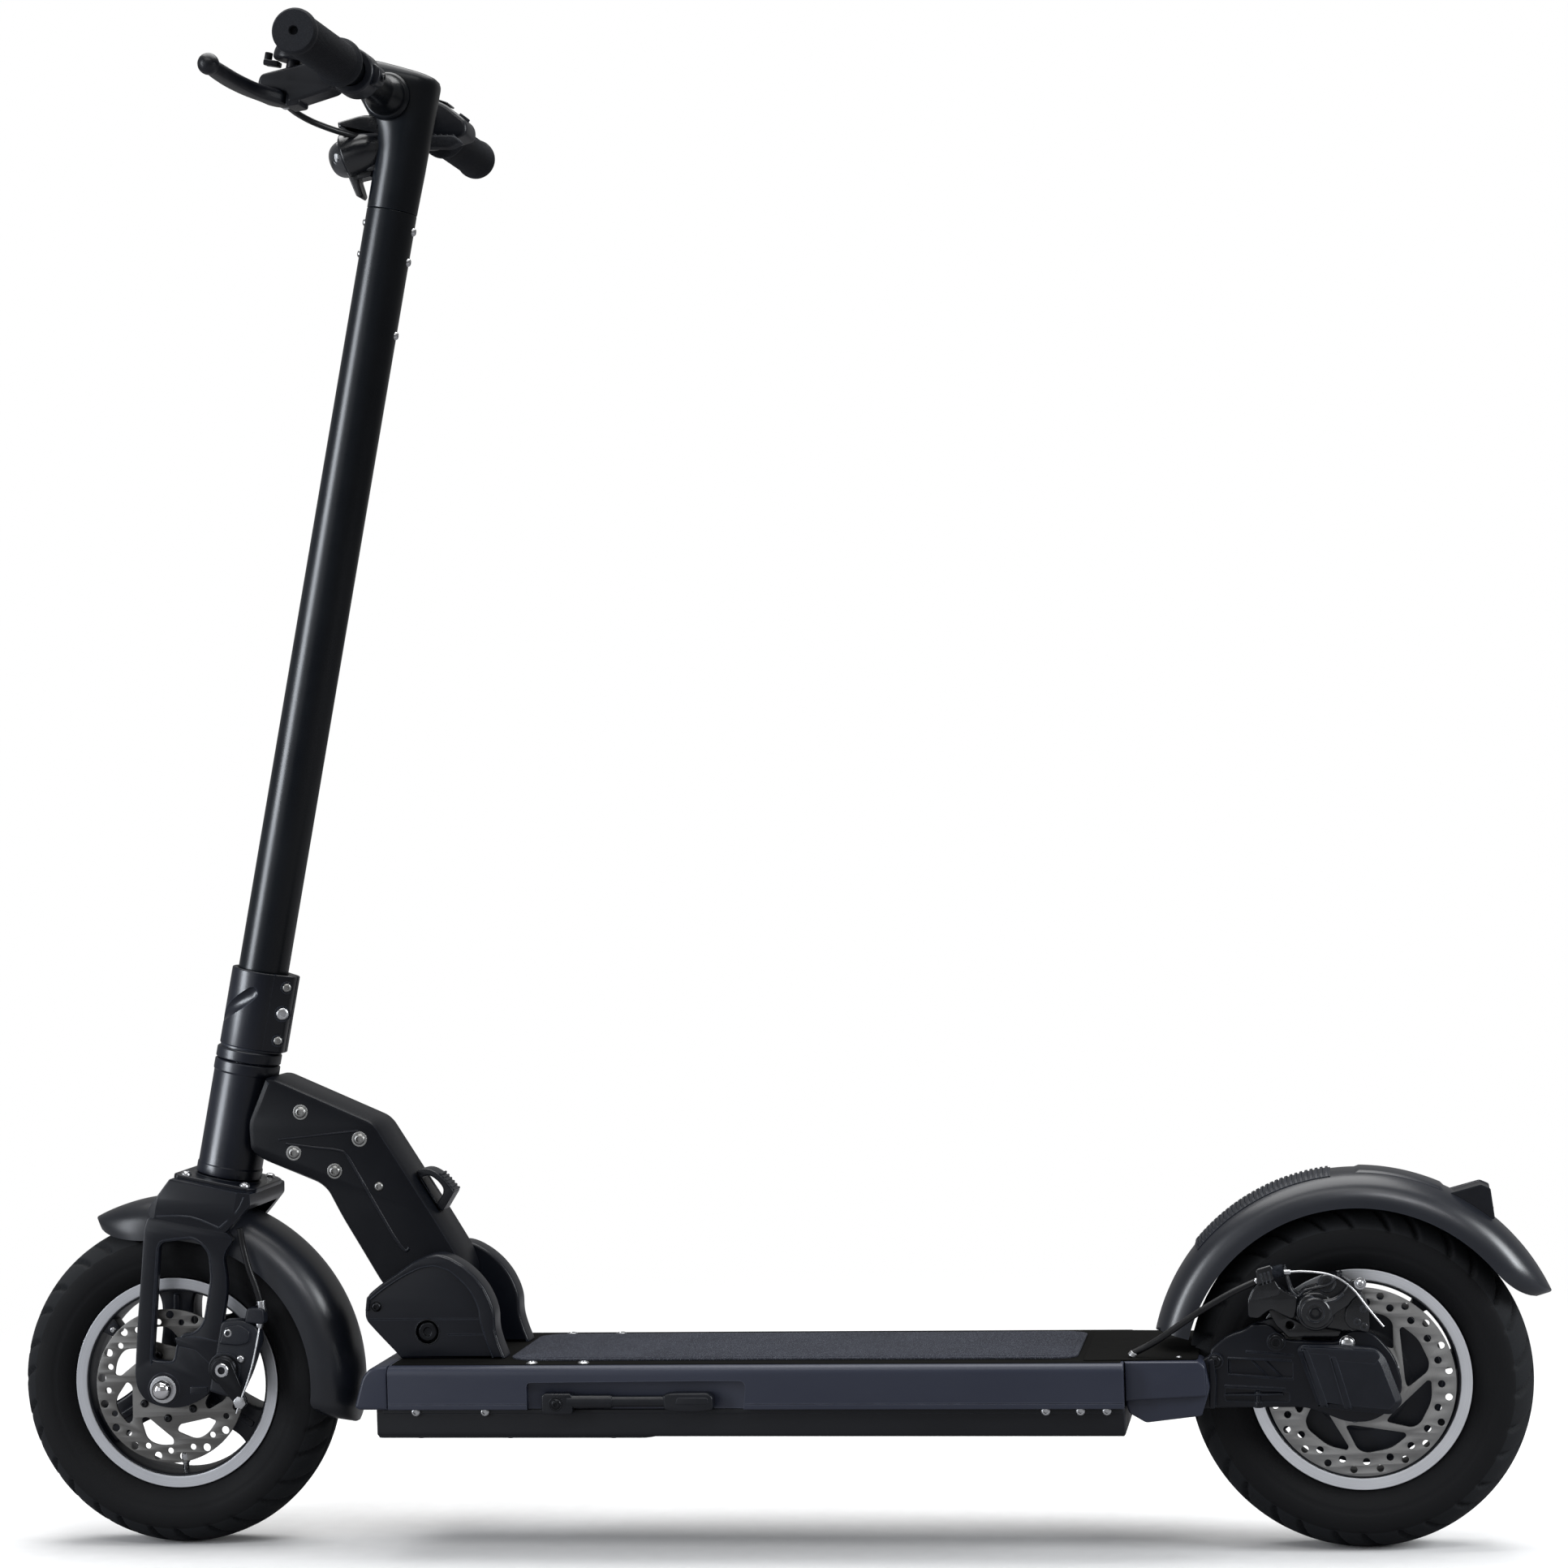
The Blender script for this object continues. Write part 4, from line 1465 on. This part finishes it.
def stem_head():
    """Stem top that swells forward over the headlamp."""
    n = 72
    sections = [oval(-19.2, 19.2, 19.2, 931.2, n), oval(-19.7, 19.7, 19.7, 931.6, n)]
    # s, front edge
    fronts = [(965, -19.7), (978, -20.5), (990, -24), (998, -27.6), (1004, -31.4),
              (1008, -34.7), (1016, -41), (1022, -45), (1027, -46.8), (1031, -47.2)]
    for s, front in fronts:
        rear = 20.3 + 0.6 * min(1, (s - 935) / 60)
        power = 2.0 + 0.8 * max(0.0, (s - 985) / 46)
        sections.append(oval(front, rear, 20.3, s, n, power))
    # Closing rings: s, step inwards, tilt
    for s, step, tilt in ((1034.5, 0.3, -0.06), (1038, 1.6, -0.09), (1040, 4.2, -0.11),
                          (1041, 8.5, -0.12)):
        sections.append(oval(-47.4 + step * 1.6, 20.9 - step, 20.3 - step, s, n, 2.8, tilt))
    swap("stem_head", loft(sections, n), "stem", "steering", FRONT, angle=38)
    cup = [(14.6, 17.6), (18.6, 17.6), (18.6, 22.6), (17.0, 25.2), (14.6, 26.2)]
    put("bar_clamp", both(lambda sign: turn(cup, BAR, (0, sign, 0), 96, 0.7)), "stem",
        "steering", FRONT)
    # Screws in the front and rear of the tube
    screws = [bolt((sign * 19.5, 0, s), (sign, 0, 0), 3.4, 2.2)
              for sign, s in ((-1, 920), (-1, 895), (1, 918), (1, 894), (1, 836))]
    put("stem_screws", join(*screws), "zinc", "steering", FRONT)


# ------------------------------------------------------------------ handlebar, FRONT frame
def handlebar():
    half = [(11.1, 258), (11.1, 44), (11.8, 40), (14.8, 32), (15.8, 28)]
    profile = ([(0, -258)] + [(r, -y) for r, y in half] + half[::-1] + [(0, 258)])
    corners = [0, 0, 2, 6, 6, 4, 4, 6, 6, 2, 0, 0]
    swap("handlebar", turn(profile, BAR, ACROSS, 72, corners), "stem", "steering", FRONT)


def grip(name, sign):
    profile = [(11.5, 150), (17.6, 150), (18.2, 151), (18.2, 153.2), (17.4, 154.4),
               (15.6, 155.4)]
    y = 157.0
    while y < 255:
        profile += [(14.75, y), (15.45, y + 0.35), (15.45, y + 1.25), (14.75, y + 1.6)]
        y += 2.2
    profile += [(15.4, 256), (16.2, 258), (16.6, 260), (16.4, 263), (14.8, 265), (3.6, 265),
                (3.2, 264), (3.2, 260), (0, 260)]
    swap("grip_" + name, turn(profile, BAR, (0, sign, 0), 56), "grip", "steering", FRONT,
         angle=40)


def brake_perch(name, sign):
    """Clamp ring, arm and lug that carry a brake lever, with its cable."""
    clamp = turn([(11.6, 98), (16.4, 98), (17.5, 99), (17.5, 121), (16.4, 122), (11.6, 122)],
                 BAR, (0, sign, 0), 64, 0.5)
    arm = side(rounded([(-20, 1024), (-27, 1026), (-52, 1016), (-82, 1004), (-83, 996),
                        (-78, 993.4), (-60, 993.6), (-57, 985), (-24, 1001)],
                       [2, 5, 6, 4, 3, 3, 3, 3, 4], 5), *span(sign, 97, 123), 2.4, res=3)
    lug = side(rounded([(-59, 982.6), (-48, 986), (-50, 997), (-60, 995)], 2.4, 4),
               *span(sign, 98, 122), 1.2, res=3)
    boss = turn([(0, 1003.0), (6, 1003.4), (5.4, 1007.4), (0, 1007.4)], (-70, sign * 110, 0),
                UP, 28, 0.4)
    rear_lug = side(rounded([(2, BAR_S - 9), (7.6, BAR_S - 6), (8.6, BAR_S), (7.6, BAR_S + 6),
                             (2, BAR_S + 9)], 2, 3), *span(sign, 102, 118), 1.0)
    swap("brake_perch_" + name, join(clamp, arm, lug, boss, rear_lug), "plastic", "steering",
         FRONT)
    put("perch_screws_" + name, join(
        bolt((-70, sign * 110, 1007), UP, 3.0, 1.4),
        bolt((7.8, sign * 110, BAR_S), (1, 0, 0), 3.2, 2.4, "cap")),
        "darkbolt", "steering", FRONT)
    adjuster = [(0, 0), (4.6, 0), (4.6, 3), (3.6, 3.6), (3.6, 6.4), (4.4, 7), (4.4, 10.4),
                (3.0, 11.4), (0, 11.4)]
    put("cable_adjuster_" + name,
        turn(adjuster, (-70, sign * 97.4, 989.5), (0, -sign, 0), 24, 0.3),
        "zinc", "steering", FRONT)
    # d, distance from the centre plane, s
    hose = [(-70, 87, 989.5), (-71, 74, 989.0), (-69, 58, 987.5), (-62, 42, 985.5),
            (-50, 27, 984), (-38, 16, 983.5), (-26, 9, 983.5), (-18, 6, 983.5)]
    put("brake_hose_" + name, tube([(d, sign * y, s) for d, y, s in hose], 2.5, 16, 8), "cable",
        "steering", FRONT)


def brake_lever(name, sign):
    outline = [(-60, 104), (-59, 116), (-63, 124), (-74, 141), (-78.5, 170), (-79, 205),
               (-79.5, 229), (-88.5, 229), (-92, 205), (-93, 168), (-89, 138), (-81, 118),
               (-79, 106), (-72, 101)]
    corners = [4, 4, 8, 12, 14, 12, 3, 3, 12, 14, 12, 8, 5, 5]
    blade = plan(rounded([(d, sign * y) for d, y in outline], corners, 6), 983.6, 994.4, 3.6,
                 res=4)
    swap("brake_lever_" + name, join(blade, ball(7.9, (-84, sign * 230, 989.4), 40)), "plastic",
         "lever_" + name, FRONT, angle=50)


def bell():
    dome = turn([(0, 1018), (14.4, 1018), (15.6, 1019.6), (15.5, 1024), (14.2, 1028.6),
                 (11, 1032.2), (6, 1034.4), (2.6, 1034.9), (2.6, 1036.2), (0, 1036.4)],
                (-62, -110, 0), UP, 72, [0, 0.6, 2, 3, 3, 3, 2, 0.3, 0.4, 0])
    foot = disc(5, 1007, 1019, (-62, -110, 0), UP, 28, 0.4)
    put("bell", join(dome, foot), "plastic", "steering", FRONT, replaces="bell_dome", angle=40)
    striker = join(side(rounded([(-84, 1012.8), (-84, 1016.8), (-72, 1016.8), (-72, 1012.8)],
                                1.2, 3), -115, -105, 0.9),
                   disc(3, 1012.8, 1022.6, (-82, -110, 0), UP, 24, 0.8))
    swap("bell_striker", striker, "darkbolt", "bell_lever", FRONT)


def display():
    """Display shell on the right of the bar, its window and round button."""
    shell = side(rounded([(-14, 1034), (8, 1030.6), (29, 1019), (31, 1008), (12, 999),
                          (-10, 1000)], [5, 6, 6, 5, 5, 5], 6), 62.5, 95.5, 3.2, res=4)
    clamp = turn([(11.6, 63), (16.8, 63), (17.5, 64), (17.5, 94), (16.8, 95), (11.6, 95)], BAR,
                 ACROSS, 64, 0.4)
    button_at, button_axis = (21, 79, 1021), Vector((0.46, 0, 0.888)).normalized()
    well = turn([(0, -1.2), (5.4, -1.2), (5.4, 12), (0, 12)], button_at, button_axis, 32)
    swap("display_unit", join(boolean(shell, well), clamp), "plastic", "steering", FRONT)
    window = slab(rounded([(-11, -12.6), (11, -12.6), (11, 12.6), (-11, 12.6)], 2.6, 5), (),
                  1.4, 0.5)
    window.xf(Matrix.Translation((-1.2, 79, 1033.2)) @ Matrix.Rotation(math.radians(9), 4, "Y"))
    put("display_window", window, "screen", "steering", FRONT)
    swap("display_button", disc(4.9, 0.2, 4.2, button_at, button_axis, 40, 0.9), "grip",
         "mode_button", FRONT)


def throttle():
    clamp = turn([(11.6, 44.5), (15.9, 44.5), (16.5, 45.3), (16.5, 54.2), (15.9, 55),
                  (11.6, 55)], BAR, ACROSS, 56, 0.3)
    paddle = side(rounded([(-12, 1002), (-2, 1000), (26, 1004), (32, 1000), (24, 994),
                           (-4, 990), (-14, 1000)], [2, 3, 3, 3, 3, 3, 2], 4), 45, 60, 2.0,
                  res=3)
    ribs = []
    for k in range(5):
        d, s = 4 + 5 * k, 1001.6 + 0.55 * k
        ribs.append(tube([(d, 47, s), (d, 52.5, s + 0.3), (d, 58, s)], 0.9, 8, 2))
    swap("throttle_paddle", join(clamp, paddle, *ribs), "grip", "throttle", FRONT, angle=36)


def headlamp():
    tilt = 0.49
    forward = (-math.cos(tilt), 0, -math.sin(tilt))
    at = (0, 0, 990)
    shell = turn([(0, 14), (11, 14), (13.5, 18), (17.6, 26), (18.9, 36), (19.2, 47.6),
                  (18.7, 48.6), (17.2, 48.6), (16.4, 47), (15.6, 40.2), (0, 40.2)], at, forward,
                 96, [0, 1, 3, 4, 3, 0.5, 0.4, 0.4, 0.4, 0.4, 0])
    visor = side(rounded([(-50, 987.5), (-51.5, 992), (-33, 1000.5), (-16, 1002.5), (-16, 986),
                          (-36, 982)], [1, 1.2, 4, 2, 2, 3], 4), -15, 15, 2.6, res=3)
    back = side(rounded([(-15, 1001), (-15, 960), (-23, 958), (-30, 962), (-33, 984),
                         (-28, 1000)], 3, 4), -10, 10, 2.4, res=3)
    swap("headlamp_housing", join(shell, visor, back), "gloss", "steering", FRONT)
    put("headlamp_bezel", turn([(15.4, 45.4), (17.4, 45.4), (17.4, 49.4), (16.6, 50.0),
                                (15.4, 49.6)], at, forward, 96, 0.3),
        "paint", "steering", FRONT)
    lens = turn([(0, 40.4), (14.9, 40.4), (15.3, 47), (14.8, 52.4), (13.0, 57.0), (9.8, 60.4),
                 (5.4, 62.2), (0, 62.8)], at, forward, 96, [0, 0.3, 2, 3, 3, 4, 4, 0], seg=5)
    swap("headlamp_lens", lens, "lens", "steering", FRONT, angle=60)


def carry_hook():
    hook = rounded([(-46.5, 966), (-28.5, 938.4), (-24.8, 937.2), (-23.6, 940.2),
                    (-29.4, 951.4), (-19.2, 955.4), (-19.2, 962.6), (-32.6, 957), (-43.0, 968)],
                   [1, 1, 1, 1, 1, 1, 1, 1.5, 1], 3)
    swap("carry_hook", side(hook, -8, 8, 1.0), "gloss", "steering", FRONT, angle=30)
    put("hook_bolt", both(lambda sign: bolt((-24.6, sign * 9.8, 967), (0, sign, 0), 4.0, 2.2)),
        "zinc", "steering", FRONT)


def headset():
    """Bearings inside the head tube."""
    for name, s0, s1 in (("lower", 165.2, 175.4), ("upper", 244.6, 254.8)):
        put("headset_" + name, ring(18.6, 15, s0, s1, ORIGIN, UP, rad=0.8), "zinc", "neck",
            FRONT, replaces="headset_bearing_" + name)


def recolour_inner_pieces():
    for name, key in (("battery_pack", "battery"), ("motor_controller", "alu")):
        materials = CAD["nodes"][name].data.materials
        materials.clear()
        materials.append(MATERIALS[key])


# ------------------------------------------------------------------ floor, world, lights, camera
def floor_material():
    """Matt floor that fades to pure white away from the middle, and bounces less light."""
    mat, tree, shader = start_material("floor_white")
    coords = object_coords(tree)
    length = node(tree, "VectorMath", {0: coords}, operation="LENGTH").outputs["Value"]
    fade = node(tree, "MapRange", {"Value": length, "From Min": 0.45, "From Max": 1.5},
                interpolation_type="SMOOTHSTEP").outputs["Result"]
    seen = ramp(tree, noise(tree, coords, 60.0, 4.0), 0.3, 0.7,
                (0.90, 0.90, 0.90, 1), (0.93, 0.93, 0.93, 1))
    camera_ray = node(tree, "LightPath").outputs["Is Camera Ray"]
    feed(tree, shader.inputs["Base Color"], mix(tree, camera_ray, (0.30, 0.30, 0.31, 1), seen))
    shader.inputs["Roughness"].default_value = 0.9
    shader.inputs["Specular IOR Level"].default_value = 0.1
    glow = node(tree, "Emission", {"Strength": 1.0}).outputs[0]
    camera_ray = node(tree, "LightPath").outputs["Is Camera Ray"]
    factor = calc(tree, "MULTIPLY", camera_ray, fade)
    blend = node(tree, "MixShader", {0: factor, 1: shader.outputs[0], 2: glow})
    feed(tree, tree.nodes["Material Output"].inputs["Surface"], blend.outputs[0])
    return mat


def add_floor():
    """Flat disc, metres."""
    mesh = bpy.data.meshes.new("floor")
    n, radii = 64, (0.5, 1.0, 2.0, 4.0, 9.0)
    v, f = [(0, 0, 0)], []
    for r in radii:
        for k in range(n):
            v.append((r * math.cos(2 * math.pi * k / n), r * math.sin(2 * math.pi * k / n), 0))
    for k in range(n):
        k2 = (k + 1) % n
        f.append((0, 1 + k, 1 + k2))
        for i in range(len(radii) - 1):
            f.append((1 + i * n + k, 1 + (i + 1) * n + k, 1 + (i + 1) * n + k2, 1 + i * n + k2))
    mesh.from_pydata(v, [], f)
    floor = bpy.data.objects.new("floor", mesh)
    bpy.context.scene.collection.objects.link(floor)
    mesh.materials.append(floor_material())


def set_world():
    """White to the camera, dim to everything else."""
    world = bpy.data.worlds.new("studio")
    bpy.context.scene.world = world
    world.use_nodes = True
    tree = world.node_tree
    tree.nodes.clear()
    out = node(tree, "OutputWorld")
    dim = node(tree, "Background", {0: WHITE, 1: 0.26}).outputs[0]
    full = node(tree, "Background", {0: WHITE, 1: 1.0}).outputs[0]
    camera_ray = node(tree, "LightPath").outputs["Is Camera Ray"]
    blend = node(tree, "MixShader", {0: camera_ray, 1: dim, 2: full})
    feed(tree, out.inputs[0], blend.outputs[0])


def area_light(name, at, target, size, power, colour=(1, 1, 1)):
    light = bpy.data.lights.new(name, "AREA")
    light.shape = "RECTANGLE"
    light.size, light.size_y = size
    light.energy = power
    light.color = colour
    ob = bpy.data.objects.new(name, light)
    ob.location = at
    ob.rotation_mode = "QUATERNION"
    ob.rotation_quaternion = (Vector(target) - Vector(at)).to_track_quat("-Z", "Y")
    ob.visible_camera = False
    bpy.context.scene.collection.objects.link(ob)
    return ob


def limit(light, name, words, inside=True):
    """Lights only the meshes whose name has one of the words, or only those that have none."""
    group = bpy.data.collections.new(name)
    for ob in bpy.context.scene.objects:
        if ob.type == "MESH" and any(word in ob.name for word in words) == inside:
            group.objects.link(ob)
    light.light_linking.receiver_collection = group


def add_lights():
    """Positions and sizes in metres. The camera sees -x, the front, on its left."""
    area_light("top_soft", at=(-0.1, 0.45, 3.0), target=(0, 0.1, 0.3), size=(2.8, 2.6),
               power=100)
    area_light("front_top", at=(0.0, -2.2, 2.9), target=(0, 0, 0.3), size=(2.4, 0.8), power=22)
    left = area_light("left_strip", at=(-3.0, -1.95, 0.85), target=(-0.3, 0, 0.55),
                      size=(0.8, 2.7), power=70, colour=(0.90, 0.94, 1.0))
    area_light("left_wide", at=(-1.7, -3.3, 0.8), target=(-0.3, 0, 0.5), size=(1.5, 2.0),
               power=9, colour=(0.92, 0.95, 1.0))
    right = area_light("right_soft", at=(3.0, -0.75, 1.55), target=(0.0, 0, 0.2),
                       size=(1.3, 1.6), power=70, colour=(0.94, 0.97, 1.0))
    tall = ("stem_", "head_tube", "bar_clamp", "grip_left", "grip_right", "handlebar")
    long_pieces = ("stem_tube", "stem_head", "stem_collar", "head_tube", "bar_clamp")
    limit(right, "lit_right", tall, inside=False)
    limit(left, "lit_left", long_pieces, inside=False)
    limit(area_light("stem_strip", at=(-3.0, -1.95, 0.85), target=(-0.3, 0, 0.55),
                     size=(1.15, 2.7), power=300, colour=(0.88, 0.93, 1.0)),
          "lit_stem", long_pieces)
    limit(area_light("guard_top", at=(1.0, -2.5, 1.85), target=(0.4, 0, 0.25),
                     size=(0.7, 0.34), power=20, colour=(0.95, 0.96, 1.0)),
          "lit_guard_top", ("fender",))
    limit(area_light("guard_right", at=(2.6, -1.1, 1.2), target=(0.1, 0, 0.2),
                     size=(0.7, 0.9), power=34, colour=(0.93, 0.97, 1.0)),
          "lit_guard_right", ("fender",))
    limit(area_light("guard_left", at=(-2.3, -1.7, 0.7), target=(0.3, 0, 0.2),
                     size=(0.6, 1.4), power=36, colour=(0.92, 0.96, 1.0)),
          "lit_guard_left", ("rear_fender",))
    limit(area_light("rim_low", at=(0.55, -1.6, 0.3), target=(0.46, 0, 0.14),
                     size=(1.3, 0.55), power=3.2, colour=(0.97, 0.98, 1.0)),
          "lit_rim", ("rear_rim", "rear_rotor"))


def add_camera():
    """View from the left side, turned a little to the front."""
    yaw, pitch, roll = 0.15926, -0.002514, -0.029752
    forward = Vector((-math.sin(yaw) * math.cos(pitch), math.cos(yaw) * math.cos(pitch),
                      -math.sin(pitch)))
    level = forward.cross(Vector(UP)).normalized()
    above = level.cross(forward)
    right = level * math.cos(roll) + above * math.sin(roll)
    up = -level * math.sin(roll) + above * math.cos(roll)
    data = bpy.data.cameras.new("camera")
    data.lens, data.sensor_width = 80.357, 36
    data.clip_start, data.clip_end = 0.05, 50
    camera = bpy.data.objects.new("camera", data)
    bpy.context.scene.collection.objects.link(camera)
    place = ((461.6 + SHIFT_X) / 1000, -2655.1 / 1000, 576.1 / 1000)
    turned = Matrix((right, up, -forward)).transposed().to_4x4()
    camera.matrix_world = Matrix.Translation(place) @ turned
    bpy.context.scene.camera = camera


# ------------------------------------------------------------------ build
tyres_and_rims()
front_hub()
valves()
front_wheel_details()
front_rotor()
rear_motor_drum()
rear_rotor()
deck_rails()
deck_covers()
battery_tray()
deck_screws()
fold_bracket()
neck_casting()
neck_details()
head_tube()
latch()
tail_block()
for side_name, side_sign in SIDES:
    rear_arm(side_name, side_sign)
    axle_cover(side_name, side_sign)
rear_axle_and_screws()
rear_fender()
tail_light()
rear_caliper()
rear_brake_arm()
rear_cable()
kickstand()
fork_crown()
fork_arms()
front_axle()
front_caliper()
front_cable()
front_fender()
stem_collar()
stem_tubes()
stem_head()
handlebar()
for side_name, side_sign in SIDES:
    grip(side_name, side_sign)
    brake_perch(side_name, side_sign)
    brake_lever(side_name, side_sign)
bell()
display()
throttle()
headlamp()
carry_hook()
headset()
recolour_inner_pieces()
add_floor()
set_world()
add_lights()
add_camera()
view = bpy.context.scene.view_settings
view.view_transform = "Standard"
view.look = "None"
